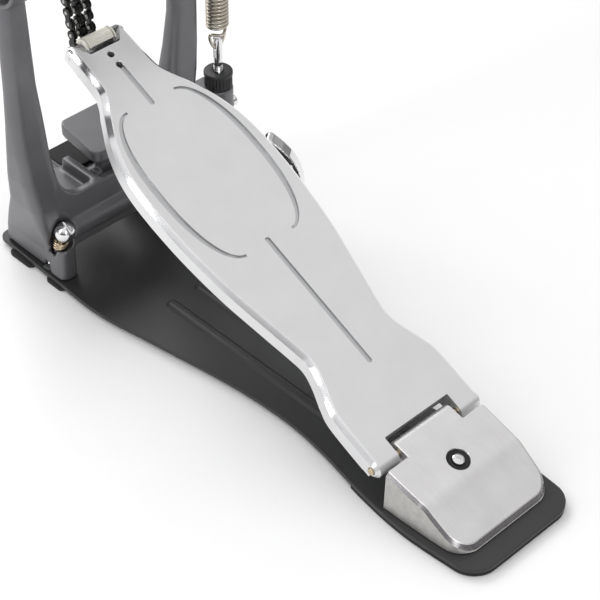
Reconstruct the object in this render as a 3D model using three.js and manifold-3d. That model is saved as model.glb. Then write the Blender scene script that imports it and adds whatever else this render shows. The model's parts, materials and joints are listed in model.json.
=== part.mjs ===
// Single bass drum pedal with a long footboard, duplex chain drive and side wing-bolt hoop clamp.
// Millimetres. +X is the player's right, +Y runs from the heel to the drum, +Z is up.
// The origin lies on the floor, under the middle of the heel plate.

import * as THREE from "three";
import { mergeVertices } from "three/addons/utils/BufferGeometryUtils.js";
import Module from "manifold-3d";

const wasm = await Module();
wasm.setup();

// ---------------------------------------------------------------- driving dimensions

const GAP = 0.3; // clearance kept between pieces that touch

const PLATE_TOP = 4.8; // top of the steel base plate above the floor
const PLATE_THICKNESS = 2.5;
const HEEL_END = -46.5; // heel edge of the base plate
const DRUM_END = 318; // drum edge of the base plate

const HINGE = { y: 23.7, z: 26.4 }; // heel hinge pin
const BOARD_INCLINE = THREE.MathUtils.degToRad(24.67); // footboard above the horizontal at rest
const BOARD_TOP = 4.8; // footboard's top face above the hinge pin, square to the board
const BOARD_SKIRT = -5.6; // lower edge of the side skirts, measured the same way
const BOARD_END = 274.5; // toe end, measured along the board from the hinge pin
const BOARD_BEVEL = 2.8;
const SLOT_START = 263.7; // toe notch that holds the chain's roller block
const SLOT_HALF = 10.5;
const CUTOUT_HALF = 22.7; // heel cut-out around the heel plate's tongue
const CUTOUT_END = 9.1;
const PIN_RADIUS = 2;
const KNUCKLE_RADIUS = 4.8;

const HEEL_HALF = 36.3; // half width of the heel plate
const TONGUE_HALF = 19.9;
const HEEL_SHOULDER = 16;
const HEEL_SLOPE = THREE.MathUtils.degToRad(14.5);
const HEEL_SCREW_Y = 1.4;

const AXLE = { y: 263, z: 206 }; // beater axle
const HEX_RADIUS = 6; // across the corners of the hexagonal axle
const POST_INNER = 48.4; // inner face of a post at the top
const POST_OUTER = 64.2;
const POST_FRONT = 258;
const CROSSBAR = { y: 266.4, z: 36.3, radius: 9.5 };
const RIM_TOP = 58.8; // upper edge of the yoke between the posts

const CHAIN_PITCH = 6.6;
const CHAIN_RADIUS = 30; // pitch radius of the chain on the cam
const CHAIN_STRAIGHT = 10; // free links between the footboard and the cam
const CHAIN_WRAPPED = 7; // links that lie on the cam at rest
const CHAIN_FOOT = { along: 278, above: -7.72 }; // the chain's lowest pin, in the footboard's own directions
const CHAIN_FOOT_PLAY = 2.1; // length of the slot that the lowest pin moves in
const TOE_PIN = { along: 270.6, above: 2 };
const TOE_PIN_RADIUS = 1.6;
const ROLLER_RADIUS = 5;
const LINK_RADIUS = 2.9;
const LINK_PIN_RADIUS = 1.15;
const BUSHING_RADIUS = 1.75;

const SPRING = { x: 76, y: 258, coilBottom: 122, coilTop: 166, radius: 5.6, wire: 0.9, turns: 19 };
const ROCKER_LENGTH = 22;
const KNOB = { bottom: 83, top: 93, radius: 8.3 };
const BRACKET = { bottom: 60, top: 82.5 };

const BEATER_LEAN = THREE.MathUtils.degToRad(42); // beater rod from the vertical, towards the player
const BEATER_REACH = 196; // axle to the middle of the beater head
const ROD_RADIUS = 3;
const HOLDER_TOP = 42; // end of the rod's socket, from the axle

const SPUR_LEAN = THREE.MathUtils.degToRad(26);
const SPUR_TRAVEL = 6; // how far a spur screws down towards the floor
const SPUR_BALL = { x: 38.5, y: 258.6, z: 39, radius: 5.9 };

const JAW = { left: -7.8, right: 25, pivotY: 270, pivotZ: 54.6, tipY: 299, under: 65, top: 72 };
const JAW_SLOPE = THREE.MathUtils.degToRad(9);
const WING = new THREE.Vector3(76, 195, 58); // middle of the wing bolt's head
const WING_NUT = new THREE.Vector3(30, 257.5, 29); // where the wing bolt enters the yoke

// ---------------------------------------------------------------- solids and shapes

const vector = (x, y, z) => new THREE.Vector3(x, y, z);

function solid(geometry) {
  const plain = geometry.clone();
  plain.deleteAttribute("normal");
  plain.deleteAttribute("uv");
  const merged = mergeVertices(plain, 1e-4);
  const data = {
    numProp: 3,
    vertProperties: new Float32Array(merged.attributes.position.array),
    triVerts: new Uint32Array(merged.index.array),
  };
  return new wasm.Manifold(new wasm.Mesh(data));
}

function geometryOf(body) {
  const mesh = body.getMesh();
  const geometry = new THREE.BufferGeometry();
  geometry.setAttribute("position", new THREE.BufferAttribute(new Float32Array(mesh.vertProperties), 3));
  geometry.setIndex(new THREE.BufferAttribute(new Uint32Array(mesh.triVerts), 1));
  geometry.computeVertexNormals();
  return geometry;
}

const join = (...bodies) => bodies.reduce((sum, body) => sum.add(body));
const cut = (body, ...tools) => tools.reduce((rest, tool) => rest.subtract(tool), body);

function place(geometry, matrix) {
  return solid(geometry.clone().applyMatrix4(matrix));
}

function box(low, high) {
  const size = high.clone().sub(low);
  const geometry = new THREE.BoxGeometry(size.x, size.y, size.z);
  geometry.translate(...low.clone().add(high).multiplyScalar(0.5).toArray());
  return solid(geometry);
}

// Matrix that carries local +Y onto a direction and the local origin onto a point.
function along(direction, point) {
  const turn = new THREE.Quaternion().setFromUnitVectors(vector(0, 1, 0), direction.clone().normalize());
  return new THREE.Matrix4().compose(point, turn, vector(1, 1, 1));
}

function rod(from, to, radius, sides = 24) {
  const span = to.clone().sub(from);
  const geometry = new THREE.CylinderGeometry(radius, radius, span.length(), sides);
  return place(geometry, along(span, from.clone().add(to).multiplyScalar(0.5)));
}

// Solid of revolution about the line from a point along a direction: profile pairs are [radius, distance].
function turned(profile, direction, point, sides = 32) {
  const points = profile.map(([radius, distance]) => new THREE.Vector2(radius, distance));
  const area = points.reduce((sum, p, i) => {
    const next = points[(i + 1) % points.length];
    return sum + p.x * next.y - next.x * p.y;
  }, 0);
  if (area < 0) points.reverse();
  const first = points[0];
  if (first.x > 0 && points[points.length - 1].x > 0) points.push(first.clone());
  return place(new THREE.LatheGeometry(points, sides), along(direction, point));
}

const ring = (inner, outer, length) => [[inner, 0], [outer, 0], [outer, length], [inner, length]];
const disc = (radius, length) => [[0, 0], [radius, 0], [radius, length], [0, length]];

// Closed solid through a stack of loops that all have the same number of points.
function loft(loops) {
  const count = loops[0].length;
  const positions = [];
  const index = [];
  loops.forEach((loop) => loop.forEach((point) => positions.push(point.x, point.y, point.z)));
  for (let level = 0; level + 1 < loops.length; level++) {
    for (let i = 0; i < count; i++) {
      const a = level * count + i;
      const b = level * count + ((i + 1) % count);
      index.push(a, b, b + count, a, b + count, a + count);
    }
  }
  const flat = (loop) => loop.map((point) => new THREE.Vector2(point.x, point.y));
  const top = (loops.length - 1) * count;
  THREE.ShapeUtils.triangulateShape(flat(loops[0]), []).forEach(([a, b, c]) => index.push(c, b, a));
  THREE.ShapeUtils.triangulateShape(flat(loops[loops.length - 1]), []).forEach(([a, b, c]) => {
    index.push(top + a, top + b, top + c);
  });
  const geometry = new THREE.BufferGeometry();
  geometry.setAttribute("position", new THREE.Float32BufferAttribute(positions, 3));
  geometry.setIndex(index);
  return solid(geometry);
}

const atHeight = (outline, z) => outline.map((point) => vector(point.x, point.y, z));

function roundedRectangle(left, right, front, back, radius, steps = 3) {
  const corners = [
    [right - radius, back - radius, 0],
    [left + radius, back - radius, 90],
    [left + radius, front + radius, 180],
    [right - radius, front + radius, 270],
  ];
  const outline = [];
  corners.forEach(([x, y, start]) => {
    for (let i = 0; i <= steps; i++) {
      const angle = THREE.MathUtils.degToRad(start + (90 * i) / steps);
      outline.push(new THREE.Vector2(x + radius * Math.cos(angle), y + radius * Math.sin(angle)));
    }
  });
  return outline;
}

// Outline that is symmetric about the Y axis, from a half width at every station along Y.
function symmetricOutline(halfWidth, start, end, count) {
  const right = [];
  for (let i = 0; i <= count; i++) {
    const y = start + ((end - start) * (1 - Math.cos((Math.PI * i) / count))) / 2;
    right.push(new THREE.Vector2(halfWidth(y), y));
  }
  const left = right.map((point) => new THREE.Vector2(-point.x, point.y)).reverse();
  return right.concat(left);
}

// Smooth half width through stations, with a rounded corner of a given radius at either end.
function widthCurve(stations, startRadius, endRadius) {
  const curve = new THREE.SplineCurve(stations.map(([y, half]) => new THREE.Vector2(y, half)));
  const samples = curve.getPoints(stations.length * 12);
  const start = stations[0][0];
  const end = stations[stations.length - 1][0];
  const corner = (radius, distance) => {
    if (radius <= 0 || distance >= radius) return 0;
    return radius - Math.sqrt(Math.max(0, radius ** 2 - (radius - distance) ** 2));
  };
  return (y) => {
    let i = 1;
    while (i < samples.length - 1 && samples[i].x < y) i++;
    const low = samples[i - 1];
    const high = samples[i];
    const share = THREE.MathUtils.clamp((y - low.x) / (high.x - low.x), 0, 1);
    const half = low.y + (high.y - low.y) * share;
    return half - corner(startRadius, y - start) - corner(endRadius, end - y);
  };
}

// Wire along a path of points.
function wire(points, radius, steps, sides = 5) {
  const corners = [];
  for (let i = 0; i < sides; i++) {
    const angle = (2 * Math.PI * i) / sides;
    corners.push(new THREE.Vector2(radius * Math.cos(angle), radius * Math.sin(angle)));
  }
  const path = new THREE.CatmullRomCurve3(points);
  const options = { steps, extrudePath: path, bevelEnabled: false };
  return solid(new THREE.ExtrudeGeometry(new THREE.Shape(corners), options));
}

// Points of a helix about an axis that runs along local +Z.
function helix(radius, bottom, top, turns, perTurn) {
  const points = [];
  const count = turns * perTurn;
  for (let i = 0; i <= count; i++) {
    const angle = (2 * Math.PI * i) / perTurn;
    const z = bottom + ((top - bottom) * i) / count;
    points.push(vector(radius * Math.cos(angle), radius * Math.sin(angle), z));
  }
  return points;
}

// ---------------------------------------------------------------- model

const pedal = new THREE.Group();

const FINISH = {
  board: { color: 0xd6d7d8, roughness: 0.38, metalness: 0.85 },
  heel: { color: 0xc4c4c2, roughness: 0.42, metalness: 0.85 },
  black: { color: 0x202124, roughness: 0.62, metalness: 0.2 },
  casting: { color: 0x55535a, roughness: 0.5, metalness: 0.45 },
  rubber: { color: 0x131313, roughness: 0.85, metalness: 0 },
  chrome: { color: 0xd8dadc, roughness: 0.12, metalness: 1 },
  steel: { color: 0xa8a49c, roughness: 0.3, metalness: 1 },
  brass: { color: 0xa58a5c, roughness: 0.35, metalness: 1 },
  plastic: { color: 0x1a1b1c, roughness: 0.5, metalness: 0 },
  chain: { color: 0x17181a, roughness: 0.35, metalness: 0.7 },
  roller: { color: 0xcfccc2, roughness: 0.4, metalness: 0.7 },
  felt: { color: 0xe6e2d8, roughness: 0.95, metalness: 0 },
};

function add(name, body, finish, parent = pedal) {
  const mesh = new THREE.Mesh(geometryOf(body), new THREE.MeshStandardMaterial(FINISH[finish]));
  mesh.name = name;
  parent.add(mesh);
  return mesh;
}

// ---------------------------------------------------------------- base plate and pads

const basePlateHalf = widthCurve(
  [[HEEL_END, 36.8], [-30, 38.4], [0, 39.9], [30, 37], [66, 30.6], [95, 28], [134, 30.3], [187, 38.7],
    [225, 44.7], [262, 44.3], [DRUM_END, 42.5]],
  13,
  6,
);

function basePlate() {
  const outline = symmetricOutline(basePlateHalf, HEEL_END, DRUM_END, 46);
  let plate = loft([atHeight(outline, PLATE_TOP - PLATE_THICKNESS), atHeight(outline, PLATE_TOP)]);
  [-1, 1].forEach((side) => {
    const foot = roundedRectangle(side * 10.4 - 3.7, side * 10.4 + 3.7, 40, 206, 3.6);
    const crest = roundedRectangle(side * 10.4 - 2.2, side * 10.4 + 2.2, 41.5, 204.5, 2.1);
    plate = plate.add(loft([atHeight(foot, PLATE_TOP - 1), atHeight(crest, PLATE_TOP + 1.7)]));
    const spurTip = spurPoint(side, SPUR_BALL.z / Math.cos(SPUR_LEAN));
    plate = plate.subtract(rod(spurPoint(side, 25), spurTip, 3.6, 16));
  });
  return cut(plate, rod(vector(0, HEEL_SCREW_Y, 0), vector(0, HEEL_SCREW_Y, 9), 3.3, 16));
}

function heelPad() {
  const half = (y) => basePlateHalf(y) - 0.2;
  const outline = symmetricOutline(half, HEEL_END + 0.2, 41, 24);
  return loft([atHeight(outline, 0), atHeight(outline, PLATE_TOP - PLATE_THICKNESS - GAP)]);
}

function toePad(side, front, back) {
  const edge = side * 45.4;
  const inner = side * 30;
  const outline = roundedRectangle(Math.min(edge, inner), Math.max(edge, inner), front, back, 3);
  return loft([atHeight(outline, 0), atHeight(outline, PLATE_TOP - PLATE_THICKNESS - GAP)]);
}

// ---------------------------------------------------------------- yoke casting

const onEyeBolt = (z) => vector(SPRING.x, SPRING.y, z);

// Direction and points of a spur screw, measured down from the middle of its ball head.
function spurPoint(side, distance) {
  return vector(
    side * SPUR_BALL.x,
    SPUR_BALL.y + distance * Math.sin(SPUR_LEAN),
    SPUR_BALL.z - distance * Math.cos(SPUR_LEAN),
  );
}

// One post with its foot, on the positive X side: [height, inner, outer, front, back, corner radius].
const POST_SECTIONS = [
  [PLATE_TOP + GAP, 30.5, 40.5, 266, 313, 3],
  [21, 32, 43.5, 266, 308, 3.5],
  [41, 35, 50.2, 263, 296, 4],
  [58, 37.5, 55.5, 259.5, 286, 5],
  [80, 40, 60.5, 258.2, 279, 5],
  [100, 42.3, 63, POST_FRONT, 274, 5],
  [119, 44, 64, POST_FRONT, 271, 5],
  [140, 46.3, POST_OUTER, POST_FRONT, 269.5, 5],
  [197, POST_INNER, POST_OUTER, POST_FRONT, 268.5, 5],
];

function post(side) {
  const loops = POST_SECTIONS.map(([z, inner, outer, front, back, radius]) => {
    const left = side > 0 ? inner : -outer;
    return atHeight(roundedRectangle(left, left + outer - inner, front, back, radius), z);
  });
  const onAxis = (x) => vector(side * x, AXLE.y, AXLE.z);
  const housing = rod(onAxis(POST_INNER), onAxis(POST_OUTER), 14, 32);
  const spurBlock = atHeight(roundedRectangle(31, 43, 257.5, 272, 4), PLATE_TOP + GAP);
  const spurTop = spurBlock.map((point) => vector(point.x, point.y, 27 + (point.y - 257.5) * 0.9));
  const mirror = (loop) => (side > 0 ? loop : loop.map((p) => vector(-p.x, p.y, p.z)).reverse());
  return join(loft(loops), housing, loft([mirror(spurBlock), mirror(spurTop)]));
}

// The wall between the posts with its U-shaped upper edge, seen from the player.
function yokeWall() {
  const shape = new THREE.Shape();
  shape.moveTo(-40, 24);
  shape.lineTo(40, 24);
  shape.lineTo(44, 98);
  shape.lineTo(41.5, 88);
  shape.quadraticCurveTo(38.5, 60.5, 24, RIM_TOP);
  shape.lineTo(-24, RIM_TOP);
  shape.quadraticCurveTo(-38.5, 60.5, -41.5, 88);
  shape.lineTo(-44, 98);
  const geometry = new THREE.ExtrudeGeometry(shape, { depth: 5, bevelEnabled: false, curveSegments: 8 });
  geometry.rotateX(Math.PI / 2);
  return place(geometry, new THREE.Matrix4().makeTranslation(0, 265, 0));
}

// Curved tray behind the wall, on the left and right of the clamp pocket.
function yokeTray(side, inner) {
  const shape = new THREE.Shape();
  shape.moveTo(side * inner, 48);
  shape.lineTo(side * inner, 52);
  shape.lineTo(side * 26, 53);
  shape.quadraticCurveTo(side * 36, 56, side * 40.5, 84);
  shape.lineTo(side * 44, 84);
  shape.quadraticCurveTo(side * 42, 52, side * 30, 48);
  const geometry = new THREE.ExtrudeGeometry(shape, { depth: 33, bevelEnabled: false, curveSegments: 8 });
  geometry.rotateX(Math.PI / 2);
  return place(geometry, new THREE.Matrix4().makeTranslation(0, 294, 0));
}

function springBracket() {
  const arm = box(vector(52, 260.5, BRACKET.bottom), vector(SPRING.x, 271, BRACKET.top));
  const boss = rod(onEyeBolt(BRACKET.bottom), onEyeBolt(BRACKET.top), 8.5, 28);
  return join(arm, boss);
}

function yokeCasting() {
  const barEnds = [-40, 40].map((x) => vector(x, CROSSBAR.y, CROSSBAR.z));
  const bar = rod(...barEnds, CROSSBAR.radius, 28);
  const leftWall = box(vector(-13.6, 262, 48), vector(-8.6, 290, RIM_TOP + 1));
  const rightWall = box(vector(25.8, 262, 48), vector(29.2, 290, RIM_TOP + 1));
  const pocketFloor = box(vector(-10, 262, 44), vector(27, 282, 49));
  const seatArm = box(vector(-8, 280, 40), vector(25, 315, 45));
  const seatWeb = box(vector(-8, 268, 38), vector(25, 284, 48));
  const body = join(
    post(-1), post(1), bar, yokeWall(), yokeTray(-1, 10), yokeTray(1, 27.5),
    leftWall, rightWall, pocketFloor, seatArm, seatWeb, springBracket(),
  );
  const wingDirection = WING.clone().sub(WING_NUT).normalize();
  const ballEnd = SPUR_TRAVEL + SPUR_BALL.radius + 0.6;
  const holes = [-1, 1].flatMap((side) => [
    rod(vector(side * 40, AXLE.y, AXLE.z), vector(side * 70, AXLE.y, AXLE.z), 11.3, 32),
    rod(spurPoint(side, -14), spurPoint(side, ballEnd), SPUR_BALL.radius + 0.7, 24),
    rod(spurPoint(side, 0), spurPoint(side, 14 + SPUR_TRAVEL), 5, 20),
    rod(spurPoint(side, 0), spurPoint(side, 42), 3, 16),
  ]);
  return cut(
    body,
    ...holes,
    rod(vector(-12.5, JAW.pivotY, JAW.pivotZ), vector(40, JAW.pivotY, JAW.pivotZ), 2.3, 16),
    rod(onEyeBolt(50), onEyeBolt(90), 3.1, 16),
    rod(onEyeBolt(67).setX(SPRING.x + 4), onEyeBolt(67).setX(SPRING.x + 14), 2.1, 12),
    rod(WING_NUT.clone().addScaledVector(wingDirection, -6), WING, 3.3, 16),
  );
}

// ---------------------------------------------------------------- heel plate

const onHinge = (x) => vector(x, HINGE.y, HINGE.z);

// Height of the heel plate's sloping top face.
const heelTop = (y) => HINGE.z + KNUCKLE_RADIUS / Math.cos(HEEL_SLOPE) + (y - HINGE.y) * Math.tan(HEEL_SLOPE);
const heelNormal = vector(0, -Math.sin(HEEL_SLOPE), Math.cos(HEEL_SLOPE));
const heelRecess = vector(0, HEEL_SCREW_Y, heelTop(HEEL_SCREW_Y) - 3.5 + GAP);

function heelPlate() {
  const side = new THREE.Shape();
  side.moveTo(-34.6, PLATE_TOP + GAP);
  side.lineTo(-34.6, 6.8);
  side.lineTo(-12, heelTop(-12) - 1.1);
  side.quadraticCurveTo(-9.5, heelTop(-9.5), -6, heelTop(-6));
  side.lineTo(HINGE.y, heelTop(HINGE.y));
  side.lineTo(HINGE.y, HINGE.z - KNUCKLE_RADIUS);
  side.lineTo(HEEL_SHOULDER, 15);
  side.lineTo(-20, PLATE_TOP + GAP);
  const profile = new THREE.ExtrudeGeometry(side, { depth: 2 * HEEL_HALF, bevelEnabled: false });
  const acrossX = new THREE.Matrix4().makeBasis(vector(0, 1, 0), vector(0, 0, 1), vector(1, 0, 0));
  const block = place(profile, acrossX.setPosition(-HEEL_HALF, 0, 0));
  const half = widthCurve([[-34.6, 33.2], [-20, 35], [0, 36], [HEEL_SHOULDER, HEEL_HALF]], 11, 0.6);
  const plan = symmetricOutline(half, -34.6, HEEL_SHOULDER, 22);
  const tonguePlan = roundedRectangle(-TONGUE_HALF, TONGUE_HALF, 10, 40, 0.4);
  const planSolid = join(...[plan, tonguePlan].map((loop) => loft([atHeight(loop, 0), atHeight(loop, 50)])));
  const barrel = rod(onHinge(-TONGUE_HALF), onHinge(TONGUE_HALF), KNUCKLE_RADIUS, 32);
  const postUnderTongue = box(vector(-12, -8, PLATE_TOP + GAP), vector(12, 14, 20));
  const recessFloor = vector(0, HEEL_SCREW_Y, heelTop(HEEL_SCREW_Y) - 3.5);
  return cut(
    join(block.intersect(planSolid), barrel, postUnderTongue),
    rod(onHinge(-40), onHinge(40), PIN_RADIUS + GAP, 20),
    rod(vector(0, HEEL_SCREW_Y, 0), vector(0, HEEL_SCREW_Y, 50), 3.3, 20),
    turned(disc(6.3, 20), heelNormal, recessFloor),
  );
}

const heelWasher = () => turned(ring(2.9, 6, 1.8), heelNormal, heelRecess);

function heelScrew() {
  const headBase = heelRecess.clone().addScaledVector(heelNormal, 2.1);
  const head = turned([[0, 0], [3.3, 0], [2.9, 1], [0, 1.6]], heelNormal, headBase);
  const shankTop = heelRecess.clone().addScaledVector(heelNormal, 2.5);
  const shank = rod(vector(0, HEEL_SCREW_Y, 2.6), shankTop, 2.2, 20);
  return join(head, shank);
}

// ---------------------------------------------------------------- footboard

// Local directions of the footboard: x across, y along the board, z square to it, origin at the hinge pin.
const footboard = new THREE.Group();
footboard.position.set(0, HINGE.y, HINGE.z);
footboard.rotation.x = BOARD_INCLINE;
pedal.add(footboard);

const boardHalf = widthCurve(
  [[-4.8, 38.1], [28, 37.9], [39.2, 35.6], [51.4, 31], [60.9, 28.9], [70, 30], [88.6, 33.8], [118.8, 39.4],
    [152.6, 42.6], [186.3, 42.3], [209.7, 36.8], [228.7, 27.4], [238.2, 21.8], [246, 19.4], [262, 18.8],
    [BOARD_END, 18.3]],
  0,
  2.5,
);

function groove(start, end, half, depth) {
  const outline = roundedRectangle(-half, half, start, end, half * 0.98, 5);
  return loft([atHeight(outline, BOARD_TOP - depth), atHeight(outline, BOARD_TOP + 2)]);
}

// Pointed crescent groove: two arcs that meet at both ends of one side of the oval.
function ovalGroove(side) {
  const middle = (225.5 + 125.1) / 2;
  const reach = (225.5 - 125.1) / 2;
  const arc = (bulge) => {
    const points = [];
    for (let i = 0; i <= 18; i++) {
      const t = -1 + (2 * i) / 18;
      const bow = bulge * Math.sqrt(Math.max(0, 1 - Math.abs(t) ** 2.3));
      points.push(new THREE.Vector2(side * (16 + bow), middle + reach * t));
    }
    return points;
  };
  const outer = arc(19.3);
  const inner = arc(17.2).reverse().slice(1, -1);
  const outline = side > 0 ? outer.concat(inner) : outer.concat(inner).reverse();
  return loft([atHeight(outline, BOARD_TOP - 0.9), atHeight(outline, BOARD_TOP + 2)]);
}

const SCREW_STATIONS = [258.8, 251.4]; // holes above the screws of the chain's bracket
const onToePin = (x) => vector(x, TOE_PIN.along, TOE_PIN.above);

function screwHoles(bottom, top) {
  return SCREW_STATIONS.map((station) => rod(vector(0, station, bottom), vector(0, station, top), 1.9, 16));
}

function footboardSolid() {
  const outline = symmetricOutline(boardHalf, -0.5, BOARD_END, 46);
  const insetHalf = (y) => boardHalf((y * BOARD_END) / (BOARD_END - BOARD_BEVEL)) - BOARD_BEVEL;
  const inset = symmetricOutline(insetHalf, -0.5, BOARD_END - BOARD_BEVEL, 46);
  const shell = loft([
    atHeight(outline, BOARD_SKIRT),
    atHeight(outline, BOARD_TOP - BOARD_BEVEL),
    atHeight(inset, BOARD_TOP),
  ]);
  const pocketHalf = (y) => boardHalf(y) - 4.2;
  const pocket = symmetricOutline(pocketHalf, 14, 236, 34);
  const pocketTool = loft([atHeight(pocket, BOARD_SKIRT - 2), atHeight(pocket, BOARD_TOP - 3.6)]);
  const knuckles = [-1, 1].map((side) => {
    return rod(vector(side * CUTOUT_HALF, 0, 0), vector(side * 38, 0, 0), KNUCKLE_RADIUS, 32);
  });
  return cut(
    join(shell, ...knuckles),
    pocketTool,
    box(vector(-CUTOUT_HALF, -10, -12), vector(CUTOUT_HALF, CUTOUT_END, 12)),
    box(vector(-40, -9, -12), vector(40, 4, -KNUCKLE_RADIUS)),
    box(vector(-SLOT_HALF, SLOT_START, -12), vector(SLOT_HALF, BOARD_END + 5, 12)),
    rod(vector(-45, 0, 0), vector(45, 0, 0), PIN_RADIUS + GAP, 20),
    rod(onToePin(-25), onToePin(25), TOE_PIN_RADIUS + GAP, 16),
    ...screwHoles(-12, 12),
    groove(222.4, 252, 1, 1),
    groove(44.3, 128.6, 1, 1),
    ovalGroove(-1),
    ovalGroove(1),
  );
}

// ---------------------------------------------------------------- toe pin and roller block

const boardPoint = (alongBoard, above) => vector(
  0,
  HINGE.y + alongBoard * Math.cos(BOARD_INCLINE) - above * Math.sin(BOARD_INCLINE),
  HINGE.z + alongBoard * Math.sin(BOARD_INCLINE) + above * Math.cos(BOARD_INCLINE),
);
const chainFoot = boardPoint(CHAIN_FOOT.along, CHAIN_FOOT.above);

// The free chain is tangent to the pitch circle of the cam on the drum side.
const toAxle = vector(0, AXLE.y, AXLE.z).sub(chainFoot);
const chainAngle = Math.atan2(toAxle.z, toAxle.y) - Math.asin(CHAIN_RADIUS / toAxle.length());
const chainUp = vector(0, Math.cos(chainAngle), Math.sin(chainAngle));
const tangent = chainFoot.clone().addScaledVector(chainUp, CHAIN_STRAIGHT * CHAIN_PITCH);

// Bar with round ends around two points in a plane square to X, between two distances along X.
function roundBar(low, high, radius, left, right, steps = 3) {
  const span = high.clone().sub(low);
  const shape = new THREE.Shape();
  shape.absarc(0, span.length(), radius, 0, Math.PI);
  shape.absarc(0, 0, radius, Math.PI, 2 * Math.PI);
  const options = { depth: right - left, bevelEnabled: false, curveSegments: steps };
  const up = span.clone().normalize();
  const outward = vector(1, 0, 0);
  const basis = new THREE.Matrix4().makeBasis(up.clone().cross(outward), up, outward);
  return place(new THREE.ExtrudeGeometry(shape, options), basis.setPosition(left, low.y, low.z));
}

// Ribbed roller on the toe pin, with a narrow groove beside each end flange.
function toeRoller() {
  const ribs = [];
  for (let i = 0; i < 12; i++) {
    const angle = (2 * Math.PI * i) / 12;
    const offset = vector(0, Math.cos(angle), Math.sin(angle)).multiplyScalar(ROLLER_RADIUS + 0.2);
    ribs.push(rod(onToePin(-8).add(offset), onToePin(8).add(offset), 0.45, 6));
  }
  const grooveRing = ring(ROLLER_RADIUS - 1.4, ROLLER_RADIUS + 1, 0.7);
  const grooves = [-1, 1].map((side) => turned(grooveRing, vector(side, 0, 0), onToePin(side * 8.3), 24));
  const barrel = rod(onToePin(-10), onToePin(10), ROLLER_RADIUS, 24);
  return cut(barrel, ...ribs, ...grooves, rod(onToePin(-20), onToePin(20), TOE_PIN_RADIUS + GAP, 16));
}

const ANCHOR_TOP = BOARD_SKIRT - GAP;

// Bracket screwed under the toe: its two cheeks hold the chain's lowest pin.
function chainAnchor() {
  const plate = box(vector(-9.9, 247, ANCHOR_TOP - 2.6), vector(9.9, 272, ANCHOR_TOP));
  const foot = vector(0, CHAIN_FOOT.along, CHAIN_FOOT.above);
  const drumward = vector(0, Math.cos(BOARD_INCLINE), -Math.sin(BOARD_INCLINE));
  const play = foot.clone().addScaledVector(drumward, CHAIN_FOOT_PLAY);
  const cheeks = [-1, 1].map((side) => {
    const low = Math.min(side * 4.7, side * 6.3);
    const web = box(vector(low, 262, foot.z - 2.6), vector(low + 1.6, foot.y, ANCHOR_TOP));
    return join(web, roundBar(foot, play, 3.1, low, low + 1.6, 5));
  });
  const slot = roundBar(foot, play, LINK_PIN_RADIUS + 0.5, -20, 20, 4);
  return cut(join(plate, ...cheeks), slot, ...screwHoles(-20, 0));
}

function anchorScrew(station) {
  const shank = rod(vector(0, station, ANCHOR_TOP - 3), vector(0, station, 1.6), 1.5, 16);
  const head = rod(vector(0, station, ANCHOR_TOP - 4.6), vector(0, station, ANCHOR_TOP - 2.9), 3.1, 6);
  return join(shank, head);
}

// ---------------------------------------------------------------- chain

const linkStep = 2 * Math.asin(CHAIN_PITCH / 2 / CHAIN_RADIUS);
const tangentAngle = Math.atan2(tangent.z - AXLE.z, tangent.y - AXLE.y);

// Pins of the chain from the roller block up and over the cam.
function chainPins() {
  const pins = [];
  for (let i = 0; i <= CHAIN_STRAIGHT; i++) {
    pins.push(chainFoot.clone().addScaledVector(chainUp, i * CHAIN_PITCH));
  }
  for (let i = 1; i <= CHAIN_WRAPPED; i++) {
    const angle = tangentAngle + i * linkStep;
    pins.push(vector(0, AXLE.y + CHAIN_RADIUS * Math.cos(angle), AXLE.z + CHAIN_RADIUS * Math.sin(angle)));
  }
  return pins;
}

function across(pin, reach, radius, sides) {
  return rod(pin.clone().setX(-reach), pin.clone().setX(reach), radius, sides);
}

const linkPlate = (low, high, left, right) => roundBar(low, high, LINK_RADIUS, left, right);

function outerLink(low, high) {
  const plates = [linkPlate(low, high, 6.6, 7.6), linkPlate(low, high, -7.6, -6.6)];
  return join(...plates, across(low, 7.9, LINK_PIN_RADIUS, 10), across(high, 7.9, LINK_PIN_RADIUS, 10));
}

function innerLink(low, high) {
  const plates = [linkPlate(low, high, 4.9, 6.2), linkPlate(low, high, -6.2, -4.9)];
  const bushings = [low, high].map((pin) => across(pin, 6.2, BUSHING_RADIUS, 10));
  const bores = [low, high].map((pin) => across(pin, 9, LINK_PIN_RADIUS + GAP, 8));
  return cut(join(...plates, ...bushings), ...bores);
}

// ---------------------------------------------------------------- axle, cam and beater

const onAxle = (x) => vector(x, AXLE.y, AXLE.z);
const beaterUp = vector(0, -Math.sin(BEATER_LEAN), Math.cos(BEATER_LEAN));
const fromAxle = (x, distance) => onAxle(x).addScaledVector(beaterUp, distance);

function hexAxle() {
  return rod(onAxle(-66), onAxle(81), HEX_RADIUS, 6);
}

function bearing(side) {
  return turned(ring(6.6, 11, 8), vector(side, 0, 0), onAxle(side * 50), 32);
}

const hexBore = () => rod(onAxle(-90), onAxle(90), HEX_RADIUS + GAP, 6);

function cam() {
  const drum = rod(onAxle(-4.3), onAxle(4.3), CHAIN_RADIUS - BUSHING_RADIUS - GAP, 44);
  const hub = rod(onAxle(-13), onAxle(13), 10.5, 32);
  const holder = rod(fromAxle(0, 4), fromAxle(0, HOLDER_TOP), 7.2, 28);
  const rodBore = rod(fromAxle(0, 11), fromAxle(0, 60), ROD_RADIUS + GAP, 20);
  return cut(join(drum, hub, holder), hexBore(), rodBore, holderScrewHole());
}

const holderScrewEnd = (distance) => fromAxle(-distance, HOLDER_TOP - 6.5);
const holderScrewHole = () => rod(holderScrewEnd(2), holderScrewEnd(12), 2.8, 16);

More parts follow.
